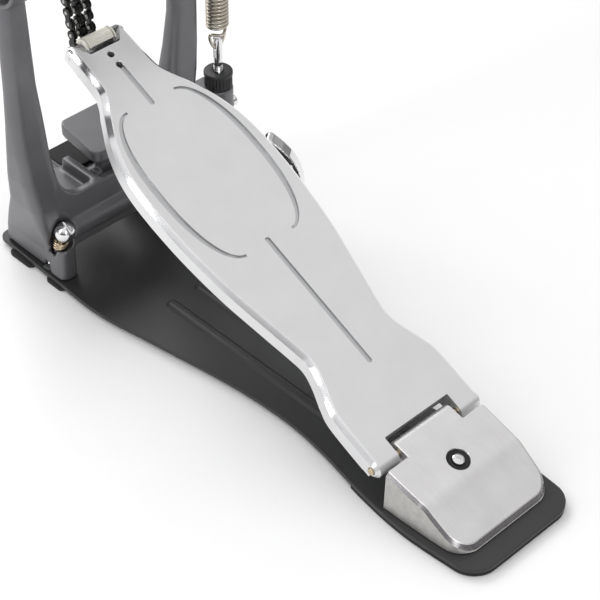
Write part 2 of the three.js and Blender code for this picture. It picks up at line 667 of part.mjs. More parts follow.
function holderScrew() {
  const shank = rod(holderScrewEnd(ROD_RADIUS + GAP + 0.3), holderScrewEnd(12), 2.4, 16);
  const collar = rod(holderScrewEnd(8.2), holderScrewEnd(11), 4.2, 24);
  return join(shank, collar, rod(holderScrewEnd(10), holderScrewEnd(17), 2.6, 4));
}

function beaterRod() {
  return rod(fromAxle(0, 12), fromAxle(0, BEATER_REACH + 20), ROD_RADIUS, 20);
}

const beaterFace = vector(0, Math.cos(BEATER_LEAN), Math.sin(BEATER_LEAN));

function beaterFelt() {
  const centre = fromAxle(0, BEATER_REACH);
  const head = turned(
    [[0, -20], [19, -20], [22.5, -18.2], [24, -14.5], [24, 14.5], [22.5, 18.2], [19, 20], [0, 20]],
    beaterFace,
    centre,
    40,
  );
  return cut(head, rod(fromAxle(0, BEATER_REACH - 40), fromAxle(0, BEATER_REACH + 40), 6.3, 24));
}

function beaterHub() {
  const hub = rod(fromAxle(0, BEATER_REACH - 29), fromAxle(0, BEATER_REACH + 27), 6, 24);
  const bore = rod(fromAxle(0, BEATER_REACH - 40), fromAxle(0, BEATER_REACH + 20.3), ROD_RADIUS + GAP, 20);
  return cut(hub, bore);
}

// ---------------------------------------------------------------- spring side

const rockerAngle = Math.asin((AXLE.y - SPRING.y) / ROCKER_LENGTH);
const rockerPin = vector(SPRING.x, SPRING.y, AXLE.z - ROCKER_LENGTH * Math.cos(rockerAngle));

function rockerArm() {
  const from = SPRING.x - 2.5;
  const to = SPRING.x + 2.5;
  const arm = roundBar(rockerPin.clone().setX(0), onAxle(0), 4.2, from, to, 6);
  const hub = rod(onAxle(69), onAxle(80), 9.5, 28);
  const pin = rod(rockerPin.clone().setX(SPRING.x - 5.6), rockerPin.clone().setX(SPRING.x + 5.6), 2, 16);
  return cut(join(arm, hub, pin), hexBore());
}

const STIRRUP_BAR = rockerPin.z - 11.5; // height of the bar that the spring hooks over

// Two legs with a slot for the rocker's pin, joined by a bar under it.
function springStirrup() {
  const slotEnd = rockerPin.clone().add(vector(0, -1.1, -2.5));
  const legs = [-1, 1].map((side) => {
    const left = Math.min(side * 3.2, side * 4.9) + SPRING.x;
    const right = left + 1.7;
    const legEnd = vector(right, SPRING.y + 3.2, rockerPin.z - 2);
    const leg = box(vector(left, SPRING.y - 3.6, STIRRUP_BAR - 1.6), legEnd);
    return join(leg, roundBar(slotEnd, rockerPin, 4, left, right, 5));
  });
  const crossEnds = [-4, 4].map((x) => vector(SPRING.x + x, SPRING.y, STIRRUP_BAR));
  const cross = rod(...crossEnds, 1.6, 12);
  return cut(join(...legs, cross), roundBar(slotEnd, rockerPin, 2.4, SPRING.x - 9, SPRING.x + 9, 5));
}

function extensionSpring() {
  const { radius, coilBottom, coilTop, turns } = SPRING;
  const lower = [
    vector(radius, 0.6, coilBottom - 1),
    vector(5.2, 0, 115),
    vector(2.6, 0, 109.3),
    vector(0, 0, 107.9),
    vector(-2.6, 0, 109.3),
    vector(-5.2, 0, 114),
    vector(-radius, -0.6, coilBottom - 3.4),
    vector(-1, -radius, coilBottom - 2.6),
  ];
  const coil = helix(radius, coilBottom, coilTop, turns, 10);
  const eye = STIRRUP_BAR + 3.2;
  const upper = [
    vector(1, radius, coilTop + 2),
    vector(0, 5.4, coilTop + 4.5),
    vector(0, 3, eye - 1.2),
    vector(0, 0, eye),
    vector(0, -3, eye - 1.2),
    vector(0, -5.4, coilTop + 4.5),
  ];
  const points = [...lower, ...coil, ...upper].map((point) => point.add(vector(SPRING.x, SPRING.y, 0)));
  return wire(points, SPRING.wire, 200);
}

function eyeBolt() {
  const shank = rod(onEyeBolt(51), onEyeBolt(115), 2.7, 20);
  const slot = box(vector(SPRING.x - 5, SPRING.y - 1.3, 102), vector(SPRING.x + 5, SPRING.y + 1.3, 112.6));
  return cut(shank, slot);
}

function tensionKnob() {
  const { radius } = KNOB;
  const knob = turned(
    [[3.05, 0], [radius - 1, 0], [radius, 0.8], [radius, 9.2], [radius - 0.8, 10], [3.05, 10]],
    vector(0, 0, 1),
    vector(SPRING.x, SPRING.y, KNOB.bottom),
    36,
  );
  const flutes = [];
  for (let i = 0; i < 18; i++) {
    const angle = (2 * Math.PI * i) / 18;
    const x = SPRING.x + (KNOB.radius + 0.35) * Math.cos(angle);
    const y = SPRING.y + (KNOB.radius + 0.35) * Math.sin(angle);
    flutes.push(rod(vector(x, y, KNOB.bottom - 1), vector(x, y, KNOB.top - 2.4), 0.8, 6));
  }
  return cut(knob, ...flutes);
}

function lockNut() {
  return cut(rod(onEyeBolt(54.6), onEyeBolt(59.6), 6.2, 6), rod(onEyeBolt(54), onEyeBolt(60), 3.05, 20));
}

function bracketScrew() {
  const shank = rod(onEyeBolt(67).setX(SPRING.x + 4.4), onEyeBolt(67).setX(SPRING.x + 9), 1.7, 12);
  const head = rod(onEyeBolt(67).setX(SPRING.x + 8.8), onEyeBolt(67).setX(SPRING.x + 12), 3.2, 20);
  return join(shank, head);
}

// ---------------------------------------------------------------- hoop clamp

// Sloping plate over the hoop, on an arm that stands on a barrel around the pivot pin.
function clampJaw() {
  const length = JAW.tipY - JAW.pivotY;
  const outline = roundedRectangle(JAW.left, JAW.right, -4, length, 5, 5);
  const sloping = (height) => {
    return outline.map((p) => vector(p.x, p.y, height - JAW.pivotZ + p.y * Math.tan(JAW_SLOPE)));
  };
  const plate = loft([sloping(JAW.under), sloping(JAW.top)]);
  const barrel = rod(vector(JAW.left, 0, 0), vector(JAW.right, 0, 0), 4.6, 24);
  const arm = box(vector(JAW.left + 4, -3.4, 0), vector(JAW.right - 4, 3.4, JAW.under + 1 - JAW.pivotZ));
  const bore = rod(vector(-30, 0, 0), vector(40, 0, 0), 2.3, 16);
  return cut(join(plate, barrel, arm), bore).translate([0, JAW.pivotY, JAW.pivotZ]);
}

function clampSeatPad() {
  const outline = roundedRectangle(-7, 24, 291, 314.5, 3);
  return loft([atHeight(outline, 45 + GAP), atHeight(outline, 47.5)]);
}

const clampPin = () => rod(
  vector(-12.2, JAW.pivotY, JAW.pivotZ),
  vector(28.8, JAW.pivotY, JAW.pivotZ),
  2,
  16,
);

// Wing bolt whose crescent handle curls back towards the yoke.
function wingBolt() {
  const outward = WING.clone().sub(WING_NUT).normalize();
  const reach = vector(0, 0, -1).addScaledVector(outward, outward.z).normalize();
  const thick = vector(0, 0, 0).crossVectors(reach, outward);
  const shape = new THREE.Shape();
  shape.moveTo(-24, -10);
  shape.quadraticCurveTo(-26, -6, -22, -4.5);
  shape.quadraticCurveTo(0, 10, 22, -4.5);
  shape.quadraticCurveTo(26, -6, 24, -10);
  shape.quadraticCurveTo(10, -2.5, 5, -3);
  shape.lineTo(-5, -3);
  shape.quadraticCurveTo(-10, -2.5, -24, -10);
  const geometry = new THREE.ExtrudeGeometry(shape, { depth: 8, bevelEnabled: false, curveSegments: 8 });
  geometry.translate(0, 0, -4);
  const basis = new THREE.Matrix4().makeBasis(reach, outward, thick).setPosition(WING);
  const shank = rod(WING_NUT.clone().addScaledVector(outward, -3), WING, 2.9, 20);
  const hub = turned([[0, -7], [5.6, -7], [6.4, -1], [6.4, 0], [0, 0]], outward, WING, 28);
  return join(shank, hub, place(geometry, basis));
}

function wingCollar() {
  const direction = WING.clone().sub(WING_NUT).normalize();
  const from = WING.clone().addScaledVector(direction, -22.5);
  return turned([[3.25, 0], [6, 0], [7, 3], [7, 11], [6, 14.4], [3.25, 14.4]], direction, from, 28);
}

// ---------------------------------------------------------------- spur screws

function spurScrew(side) {
  const down = spurPoint(side, 1).sub(spurPoint(side, 0));
  const sphere = new THREE.SphereGeometry(SPUR_BALL.radius, 20, 14);
  const ball = place(sphere, new THREE.Matrix4().setPosition(spurPoint(side, 0)));
  const shank = rod(spurPoint(side, 0), spurPoint(side, 33), 2.5, 16);
  const point = turned([[0, 0], [2.5, 0], [0, 4.5]], down, spurPoint(side, 33), 16);
  return join(ball, shank, point);
}

function spurSpring(side) {
  const top = 7.4;
  const bottom = 13.4;
  const down = spurPoint(side, 1).sub(spurPoint(side, 0));
  const turn = new THREE.Quaternion().setFromUnitVectors(vector(0, 0, 1), down);
  const onSpur = (point) => point.applyQuaternion(turn).add(spurPoint(side, 0));
  return wire(helix(3.7, top, bottom, 3, 10).map(onSpur), 0.65, 30);
}

// ---------------------------------------------------------------- assembly

add("base_plate", basePlate(), "black");
add("heel_pad", heelPad(), "rubber");
[[-1, "left"], [1, "right"]].forEach(([side, name]) => {
  add(`toe_pad_rear_${name}`, toePad(side, 257, 272), "rubber");
  add(`toe_pad_front_${name}`, toePad(side, 285, 305), "rubber");
});
add("yoke_casting", yokeCasting(), "casting");
add("heel_plate", heelPlate(), "heel");
add("heel_washer", heelWasher(), "rubber");
add("heel_screw", heelScrew(), "chrome");
add("hinge_pin", rod(onHinge(-38.8), onHinge(38.8), PIN_RADIUS, 20), "brass");
add("footboard", footboardSolid(), "board", footboard);
add("toe_pin", rod(onToePin(-17.6), onToePin(17.6), TOE_PIN_RADIUS, 16), "steel", footboard);
add("toe_roller", toeRoller(), "roller", footboard);
add("chain_anchor", chainAnchor(), "black", footboard);
SCREW_STATIONS.forEach((station, i) => {
  add(`anchor_screw_${i + 1}`, anchorScrew(station), "chrome", footboard);
});

const pins = chainPins();
for (let i = 0; i + 1 < pins.length; i++) {
  const outer = i % 2 === 0;
  const link = outer ? outerLink(pins[i], pins[i + 1]) : innerLink(pins[i], pins[i + 1]);
  add(`chain_link_${String(i + 1).padStart(2, "0")}`, link, "chain");
}

add("axle", hexAxle(), "steel");
add("bearing_left", bearing(-1), "steel");
add("bearing_right", bearing(1), "steel");
add("cam", cam(), "casting");
add("beater_screw", holderScrew(), "chrome");
add("beater_rod", beaterRod(), "chrome");
add("beater_felt", beaterFelt(), "felt");
add("beater_hub", beaterHub(), "plastic");

add("rocker_arm", rockerArm(), "casting");
add("spring_stirrup", springStirrup(), "chrome");
add("extension_spring", extensionSpring(), "steel");
add("eye_bolt", eyeBolt(), "chrome");
add("tension_knob", tensionKnob(), "plastic");
add("lock_nut", lockNut(), "chrome");
add("bracket_screw", bracketScrew(), "chrome");

add("clamp_jaw", clampJaw(), "casting");
add("clamp_pin", clampPin(), "steel");
add("clamp_seat_pad", clampSeatPad(), "rubber");
add("wing_bolt", wingBolt(), "chrome");
add("wing_collar", wingCollar(), "plastic");

[[-1, "left"], [1, "right"]].forEach(([side, name]) => {
  add(`spur_screw_${name}`, spurScrew(side), "chrome");
  add(`spur_spring_${name}`, spurSpring(side), "steel");
});

export default pedal;
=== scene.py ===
import json
import math

import bmesh
import bpy
from mathutils import Matrix, Vector


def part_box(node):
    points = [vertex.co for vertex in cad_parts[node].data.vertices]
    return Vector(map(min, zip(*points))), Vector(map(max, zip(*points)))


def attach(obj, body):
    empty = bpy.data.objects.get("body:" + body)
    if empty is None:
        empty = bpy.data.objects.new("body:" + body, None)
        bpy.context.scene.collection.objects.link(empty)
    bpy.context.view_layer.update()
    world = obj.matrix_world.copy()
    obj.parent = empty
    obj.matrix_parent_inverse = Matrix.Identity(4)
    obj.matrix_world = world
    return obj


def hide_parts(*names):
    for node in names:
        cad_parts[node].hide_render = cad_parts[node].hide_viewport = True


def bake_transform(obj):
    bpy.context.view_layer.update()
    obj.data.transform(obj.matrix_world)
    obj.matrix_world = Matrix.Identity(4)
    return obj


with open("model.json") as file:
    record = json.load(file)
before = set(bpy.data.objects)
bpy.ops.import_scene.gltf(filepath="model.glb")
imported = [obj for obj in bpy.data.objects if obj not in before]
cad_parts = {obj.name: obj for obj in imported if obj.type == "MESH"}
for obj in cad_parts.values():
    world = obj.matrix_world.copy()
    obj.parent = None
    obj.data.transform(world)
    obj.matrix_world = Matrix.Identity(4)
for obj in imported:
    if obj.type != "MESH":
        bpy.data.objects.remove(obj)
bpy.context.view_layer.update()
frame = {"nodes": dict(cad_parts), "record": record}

# Shapes are built in millimetres and scaled to metres when they become pieces.
MM = 0.001
FULL = 2 * math.pi


def centre(node):
    """Middle of a CAD node's box, in millimetres."""
    low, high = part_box(node)
    return (low + high) / (2 * MM)


def extent(node):
    """Lowest and highest corner of a CAD node's box, in millimetres."""
    low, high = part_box(node)
    return low / MM, high / MM


# ------------------------------------------------------------------ places taken from the frame

HINGE = centre("hinge_pin")
AXLE = centre("axle")
TOE = centre("toe_pin")
EYE = centre("eye_bolt")

TOE_ALONG = 270.6  # toe pin in the footboard's own directions
TOE_ABOVE = 2.0
INCLINE = math.atan2(TOE.z - HINGE.z, TOE.y - HINGE.y) - math.atan2(TOE_ABOVE, TOE_ALONG)
ON_BOARD = Matrix.Translation((0, HINGE.y, HINGE.z)) @ Matrix.Rotation(INCLINE, 4, "X")

PLATE_TOP = extent("heel_plate")[0].z - 0.3
PLATE_LOW = PLATE_TOP - 2.5


# ------------------------------------------------------------------ mesh helpers


def loft(loops, caps=True, strips=None):
    """Faces between loops of the same length; strips gives the material index of each band."""
    bm = bmesh.new()
    rings = [[bm.verts.new(point) for point in loop] for loop in loops]
    count = len(rings[0])
    for band, (low, high) in enumerate(zip(rings, rings[1:])):
        for i in range(count):
            j = (i + 1) % count
            face = bm.faces.new((low[i], low[j], high[j], high[i]))
            face.material_index = strips[band] if strips else 0
    if caps:
        bm.faces.new(list(reversed(rings[0])))
        bm.faces.new(rings[-1])
    bmesh.ops.recalc_face_normals(bm, faces=bm.faces)
    return bm


def lathe(profile, steps=48):
    """Solid of revolution about +Z from (radius, height) pairs that start and end on the axis."""
    bm = bmesh.new()
    rings = []
    for radius, height in profile:
        if radius == 0:
            rings.append([bm.verts.new((0, 0, height))])
            continue
        angles = [FULL * i / steps for i in range(steps)]
        rings.append([bm.verts.new((radius * math.cos(a), radius * math.sin(a), height)) for a in angles])
    for low, high in zip(rings, rings[1:]):
        for i in range(steps):
            j = (i + 1) % steps
            corners = [low[i % len(low)], low[j % len(low)], high[j % len(high)], high[i % len(high)]]
            unique = list(dict.fromkeys(corners))
            if len(unique) > 2:
                bm.faces.new(unique)
    bmesh.ops.recalc_face_normals(bm, faces=bm.faces)
    return bm


def hollow_lathe(profile, steps=48):
    """Ring of revolution about +Z from a closed profile of (radius, height) pairs."""
    loops = []
    for i in range(steps):
        angle = FULL * i / steps
        loops.append([Vector((r * math.cos(angle), r * math.sin(angle), h)) for r, h in profile])
    loops.append(loops[0])
    bm = loft(loops, caps=False)
    bmesh.ops.remove_doubles(bm, verts=bm.verts, dist=1e-5)
    bmesh.ops.recalc_face_normals(bm, faces=bm.faces)
    return bm


def tube(points, radius, sides=12):
    """Round wire along a path, with flat ends."""
    points = [Vector(point) for point in points]
    tangents = []
    for i in range(len(points)):
        ahead = points[min(i + 1, len(points) - 1)]
        behind = points[max(i - 1, 0)]
        tangents.append((ahead - behind).normalized())
    side = tangents[0].orthogonal().normalized()
    loops = []
    for point, tangent in zip(points, tangents):
        side = (side - tangent * side.dot(tangent)).normalized()
        other = tangent.cross(side)
        angles = [FULL * i / sides for i in range(sides)]
        loops.append([point + radius * (math.cos(a) * side + math.sin(a) * other) for a in angles])
    return loft(loops)


def smooth_path(points, per_span=8):
    """Catmull-Rom curve through points."""
    points = [Vector(point) for point in points]
    path = []
    for i in range(len(points) - 1):
        a = points[max(i - 1, 0)]
        b, c = points[i], points[i + 1]
        d = points[min(i + 2, len(points) - 1)]
        for step in range(per_span):
            t = step / per_span
            path.append(
                0.5 * (
                    2 * b + (c - a) * t + (2 * a - 5 * b + 4 * c - d) * t**2 + (3 * b - a - 3 * c + d) * t**3
                )
            )
    path.append(points[-1])
    return path


def rounded_rectangle(left, right, front, back, radius, steps=6):
    corners = [
        (right - radius, back - radius, 0),
        (left + radius, back - radius, 90),
        (left + radius, front + radius, 180),
        (right - radius, front + radius, 270),
    ]
    outline = []
    for x, y, start in corners:
        for i in range(steps + 1):
            angle = math.radians(start + 90 * i / steps)
            outline.append(Vector((x + radius * math.cos(angle), y + radius * math.sin(angle))))
    return outline


def inset(outline, distance, closed=True):
    """Outline moved inwards, for an outline that runs counter-clockwise."""
    moved = []
    count = len(outline)
    for i, point in enumerate(outline):
        ahead = outline[(i + 1) % count] if closed else outline[min(i + 1, count - 1)]
        behind = outline[(i - 1) % count] if closed else outline[max(i - 1, 0)]
        run = (ahead - behind).normalized()
        moved.append(point - distance * Vector((run.y, -run.x)))
    return moved


def at_height(outline, z):
    return [Vector((point.x, point.y, z)) for point in outline]


def slab(outline, levels, closed=True, strips=None):
    """Loft of one outline through (inset, height) levels."""
    return loft([at_height(inset(outline, d, closed), z) for d, z in levels], strips=strips)


def half_width(stations):
    """Smooth half width as a function of the distance along a part."""
    curve = smooth_path([Vector((y, half, 0)) for y, half in stations], 16)

    def width(y):
        for low, high in zip(curve, curve[1:]):
            if y <= high.x:
                share = (y - low.x) / (high.x - low.x)
                return low.y + (high.y - low.y) * max(share, 0)
        return curve[-1].y

    return width


def plan_outline(half, start, end, start_radius, end_radius, step=1.5):
    """Closed outline that is symmetric about the Y axis, with a rounded corner at each end."""
    straight = end - start - start_radius - end_radius
    count = int(straight / step)
    arc = [1 - math.cos(math.radians(90 * i / 14)) for i in range(14)]
    stations = [start + start_radius * share for share in arc if start_radius]
    stations += [start + start_radius + straight * i / count for i in range(count + 1)]
    stations += [end - end_radius * share for share in reversed(arc) if end_radius]

    def reach(y):
        x = half(y)
        for radius, depth in ((start_radius, y - start), (end_radius, end - y)):
            if depth < radius:
                x -= radius - math.sqrt(radius**2 - (radius - depth) ** 2)
        return x

    right = [Vector((reach(y), y)) for y in stations]
    left = [Vector((-point.x, point.y)) for point in reversed(right)]
    return right + left


def toward(direction, point):
    """Matrix that carries local +Z onto a direction and the local origin onto a point."""
    turn = Vector(direction).to_track_quat("Z", "Y").to_matrix().to_4x4()
    return Matrix.Translation(point) @ turn


def raw_object(name, bm, matrix=None, materials=()):
    mesh = bpy.data.meshes.new(name)
    bm.to_mesh(mesh)
    bm.free()
    for material in materials:
        mesh.materials.append(material)
    if matrix:
        mesh.transform(matrix)
    obj = bpy.data.objects.new(name, mesh)
    bpy.context.scene.collection.objects.link(obj)
    return obj


def settle(obj):
    """The object's modifiers become part of its mesh."""
    depsgraph = bpy.context.evaluated_depsgraph_get()
    mesh = bpy.data.meshes.new_from_object(obj.evaluated_get(depsgraph))
    obj.modifiers.clear()
    obj.data = mesh
    return obj


def combine(target, tools, operation="DIFFERENCE"):
    for tool in tools:
        modifier = target.modifiers.new("combine", "BOOLEAN")
        modifier.operation = operation
        modifier.solver = "MANIFOLD"
        modifier.object = tool
    settle(target)
    for tool in tools:
        bpy.data.objects.remove(tool)
    return target


def join_shells(bms):
    """One mesh from several closed shells that don't touch."""
    joined = bmesh.new()
    for bm, matrix in bms:
        mesh = bpy.data.meshes.new("shell")
        bm.to_mesh(mesh)
        bm.free()
        mesh.transform(matrix)
        joined.from_mesh(mesh)
        bpy.data.meshes.remove(mesh)
    return joined


def shade(mesh, angle):
    mesh.polygons.foreach_set("use_smooth", [True] * len(mesh.polygons))
    mesh.set_sharp_from_angle(angle=math.radians(angle))


def piece(obj, body, material, replaces=(), angle=30):
    """A shape in millimetres becomes a finished piece in metres that rides on a body."""
    obj.data.transform(Matrix.Scale(MM, 4))
    if not any(obj.data.materials):
        obj.data.materials.clear()
        obj.data.materials.append(material)
    shade(obj.data, angle)
    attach(obj, body)
    if replaces:
        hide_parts(*replaces)
    return obj


def round_edges(obj, width, angle=28):
    weld = obj.modifiers.new("weld", "WELD")
    weld.merge_threshold = 0.001 * MM
    modifier = obj.modifiers.new("round_edges", "BEVEL")
    modifier.width = width * MM
    modifier.segments = 3
    modifier.limit_method = "ANGLE"
    modifier.angle_limit = math.radians(angle)
    modifier.use_clamp_overlap = True
    modifier.harden_normals = True


def softened(node, voxel, rounds):
    """Copy of a CAD node with every edge and inner corner rounded as a casting's are, in millimetres."""
    obj = bpy.data.objects.new(node + "_soft", frame["nodes"][node].data.copy())
    bpy.context.scene.collection.objects.link(obj)
    obj.data.transform(Matrix.Scale(1 / MM, 4))
    obj.data.materials.clear()
    remesh = obj.modifiers.new("remesh", "REMESH")
    remesh.mode = "VOXEL"
    remesh.voxel_size = voxel
    smooth = obj.modifiers.new("smooth", "SMOOTH")
    smooth.factor = 0.5
    smooth.iterations = rounds
    return settle(obj)


# ------------------------------------------------------------------ materials


def finish(
    name,
    dark,
    light,
    metallic,
    roughness,
    cloud=60,
    grain=(2600, 2600, 2600),
    spread=0.08,
    bump=0.12,
    depth=0.02,
    coat=0.0,
    sheen=0.0,
):
    """Principled finish: a slow cloud mixes two tones, and a fine grain drives roughness and bump."""
    material = bpy.data.materials.new(name)
    material.use_nodes = True
    tree = material.node_tree
    shader = tree.nodes["Principled BSDF"]
    shader.inputs["Metallic"].default_value = metallic
    shader.inputs["Coat Weight"].default_value = coat
    shader.inputs["Sheen Weight"].default_value = sheen

    coordinates = tree.nodes.new("ShaderNodeTexCoord")

    def noise(scale, detail, stretch=(1, 1, 1)):
        mapping = tree.nodes.new("ShaderNodeMapping")
        mapping.inputs["Scale"].default_value = stretch
        node = tree.nodes.new("ShaderNodeTexNoise")
        node.inputs["Scale"].default_value = scale
        node.inputs["Detail"].default_value = detail
        tree.links.new(coordinates.outputs["Object"], mapping.inputs["Vector"])
        tree.links.new(mapping.outputs["Vector"], node.inputs["Vector"])
        return node.outputs["Fac"]

    slow = noise(cloud, 4)
    fine = noise(1, 3, grain)

    tones = tree.nodes.new("ShaderNodeMix")
    tones.data_type = "RGBA"
    tones.inputs[6].default_value = (*dark, 1)
    tones.inputs[7].default_value = (*light, 1)
    blendin = tree.nodes.new("ShaderNodeMath")
    blendin.operation = "MULTIPLY_ADD"
    blendin.inputs[1].default_value = 0.6
    tree.links.new(slow, blendin.inputs[0])
    scaled = tree.nodes.new("ShaderNodeMath")
    scaled.operation = "MULTIPLY"
    scaled.inputs[1].default_value = 0.4
    tree.links.new(fine, scaled.inputs[0])
    tree.links.new(scaled.outputs[0], blendin.inputs[2])
    tree.links.new(blendin.outputs[0], tones.inputs[0])
    tree.links.new(tones.outputs[2], shader.inputs["Base Color"])

    rough = tree.nodes.new("ShaderNodeMapRange")
    rough.inputs["To Min"].default_value = roughness - spread
    rough.inputs["To Max"].default_value = roughness + spread
    tree.links.new(fine, rough.inputs["Value"])
    tree.links.new(rough.outputs["Result"], shader.inputs["Roughness"])

    relief = tree.nodes.new("ShaderNodeBump")
    relief.inputs["Strength"].default_value = bump
    relief.inputs["Distance"].default_value = depth * MM
    tree.links.new(fine, relief.inputs["Height"])
    tree.links.new(relief.outputs["Normal"], shader.inputs["Normal"])
    return material


SATIN = finish("satin_silver", (0.74, 0.74, 0.745), (0.86, 0.86, 0.865), 0.9, 0.42, bump=0.35, depth=0.03)
POLISHED = finish(
    "polished_bevel", (0.72, 0.72, 0.74), (0.88, 0.88, 0.89), 1, 0.13, grain=(900, 60, 900), spread=0.02, bump=0.03
)
# Groove faces: the streaked grain stands for milling marks, and the tone, darker than the top's, is painted shade for
# the recessed channels.
GROOVE_PAINTED_SHADE = finish(
    "groove_painted_shade", (0.5, 0.5, 0.51), (0.64, 0.64, 0.65), 0.95, 0.32, grain=(3000, 300, 3000), bump=0.3
)
HEEL = finish(
    "brushed_heel", (0.62, 0.61, 0.61), (0.92, 0.91, 0.91), 0.9, 0.4, grain=(2200, 70, 70), spread=0.14,
    bump=0.5, depth=0.04,
)
# Heel chamfer: the same aluminium as the heel top, darkened to paint shade along the chamfer strip.
HEEL_CHAMFER_SHADE = finish(
    "heel_chamfer_painted_shade", (0.2, 0.19, 0.2), (0.4, 0.39, 0.4), 1, 0.26, grain=(1500, 1500, 1500), bump=0.4
)
BLASTED = finish(
    "blasted_side", (0.34, 0.33, 0.32), (0.74, 0.73, 0.7), 0.9, 0.5, cloud=260, grain=(1400, 1400, 1400), bump=0.6,
    depth=0.06,
)
POWDER = finish(
    "black_powder_coat", (0.018, 0.018, 0.019), (0.03, 0.03, 0.031), 0.0, 0.42, cloud=30,
    grain=(1900, 1900, 1900), bump=0.35, depth=0.03,
)
RUBBER = finish(
    "black_rubber", (0.008, 0.008, 0.008), (0.018, 0.017, 0.017), 0.0, 0.75, grain=(1200, 1200, 1200), bump=0.5,
    depth=0.05,
)
CASTING = finish(
    "grey_casting", (0.12, 0.117, 0.125), (0.2, 0.196, 0.206), 0.5, 0.4, cloud=45,
    grain=(1700, 1700, 1700), bump=0.35, depth=0.04, spread=0.1,
)
CHROME = finish(
    "chrome", (0.78, 0.78, 0.79), (0.88, 0.88, 0.89), 1, 0.07, grain=(300, 300, 300), spread=0.03, bump=0.03
)
STEEL = finish(
    "bright_steel", (0.5, 0.48, 0.46), (0.74, 0.72, 0.69), 1, 0.24, grain=(900, 900, 900), bump=0.15
)
SPRING_WIRE = finish(
    "spring_wire", (0.4, 0.36, 0.3), (0.72, 0.67, 0.58), 1, 0.22, grain=(900, 900, 900), bump=0.15
)
BRASSY = finish(
    "brassy_steel", (0.5, 0.4, 0.26), (0.72, 0.62, 0.45), 1, 0.26, grain=(900, 900, 900), bump=0.15
)
DARK_SCREW = finish(
    "dark_screw", (0.015, 0.015, 0.016), (0.05, 0.05, 0.052), 0.8, 0.35, grain=(900, 900, 900)
)
PLASTIC = finish(
    "black_plastic", (0.012, 0.012, 0.013), (0.024, 0.025, 0.026), 0.0, 0.45, grain=(1500, 1500, 1500), bump=0.3,
    depth=0.03,
)
CHAIN = finish(
    "black_chain", (0.012, 0.012, 0.013), (0.035, 0.034, 0.033), 0.75, 0.3, grain=(700, 700, 700), bump=0.2
)
CHAIN_STEEL = finish(
    "chain_pin_steel", (0.3, 0.29, 0.28), (0.55, 0.54, 0.52), 1, 0.3, grain=(900, 900, 900), bump=0.2
)
ROLLER = finish(
    "cream_roller", (0.72, 0.69, 0.62), (0.86, 0.84, 0.77), 0.35, 0.42, grain=(60, 2600, 2600), spread=0.1, bump=0.35
)
FELT = finish(
    "white_felt", (0.62, 0.6, 0.55), (0.84, 0.82, 0.77), 0.0, 0.95, cloud=220, grain=(2200, 2200, 2200), bump=0.9,
    depth=0.25, sheen=0.4, spread=0.04,
)


# ------------------------------------------------------------------ footboard

BOARD_TOP = 4.8
BOARD_SKIRT = -5.6
BOARD_END = 274.5
KNUCKLE = 4.8
CUTOUT_HALF = 22.7

board_half = half_width([
    (-4.8, 38.1), (28, 37.9), (39.2, 35.6), (51.4, 31), (60.9, 28.9), (70, 30), (88.6, 33.8), (118.8, 39.4),
    (152.6, 42.6), (186.3, 42.3), (209.7, 36.8), (228.7, 27.4), (238.2, 21.8), (246, 19.4), (262, 18.8),
    (BOARD_END, 18.3),
])


def block(low, high, radius=0.8):
    """Block with rounded upright edges."""
    outline = rounded_rectangle(low[0], high[0], low[1], high[1], radius, 4)
    return loft([at_height(outline, low[2]), at_height(outline, high[2])])


def cylinder(radius, start, end, steps=48, chamfer=0.0):
    """Cylinder about +Z between two heights, with an optional chamfer at its end."""
    profile = [(0, start), (radius, start)]
    if chamfer:
        profile += [(radius, end - chamfer), (radius - chamfer, end), (0, end)]
    else:
        profile += [(radius, end), (0, end)]
    return lathe(profile, steps)


def board_object(name, bm, extra=None):
    place = ON_BOARD @ extra if extra else ON_BOARD
    # The third material darkens the grooves with painted shade.
    return raw_object(name, bm, place, [SATIN, POLISHED, GROOVE_PAINTED_SHADE])


def channel(outline, depth, wall):
    """Cutter for a channel with sloping walls under the footboard's top face."""
    levels = [(wall, BOARD_TOP - depth), (0, BOARD_TOP), (-wall, BOARD_TOP + depth)]
    bm = slab(outline, levels)
    # Index 2 is the groove material, whose darker tone is painted shade.
    for face in bm.faces:
        face.material_index = 2
    return bm


def straight_channel(start, end, half):
    outline = rounded_rectangle(-half, half, start, end, half * 0.9, 5)
    return channel(outline, 1.1, half * 0.22)


def crescent_channel(side):
    """Channel along one side of the long oval, drawn to a point at both ends."""
    start, end = 125.1, 225.5
    middle, reach = (start + end) / 2, (end - start) / 2
    steps = 80
    outer, inner = [], []
    for i in range(steps + 1):
        t = -math.cos(math.pi * i / steps)
        arc = max(0.0, 1 - abs(t) ** 2.3) ** 0.5
        outer.append(Vector((side * (16 + 19.4 * arc), middle + reach * t)))
        inner.append(Vector((side * (16 + 15.7 * arc), middle + (reach - 1.5) * t)))
    outline = outer + list(reversed(inner))
    if side < 0:
        outline.reverse()
    centre_line = [(a + b) / 2 for a, b in zip(outer, inner)]
    centre_line = centre_line + list(reversed(centre_line))
    if side < 0:
        centre_line.reverse()
    floor = [point.lerp(mid, 0.2) for point, mid in zip(outline, centre_line)]
    over = [point + (point - mid) * 0.2 for point, mid in zip(outline, centre_line)]
    bm = loft(
        [at_height(floor, BOARD_TOP - 1.2), at_height(outline, BOARD_TOP), at_height(over, BOARD_TOP + 1.2)]
    )
    # Index 2 is the groove material, whose darker tone is painted shade.
    for face in bm.faces:
        face.material_index = 2
    return bm


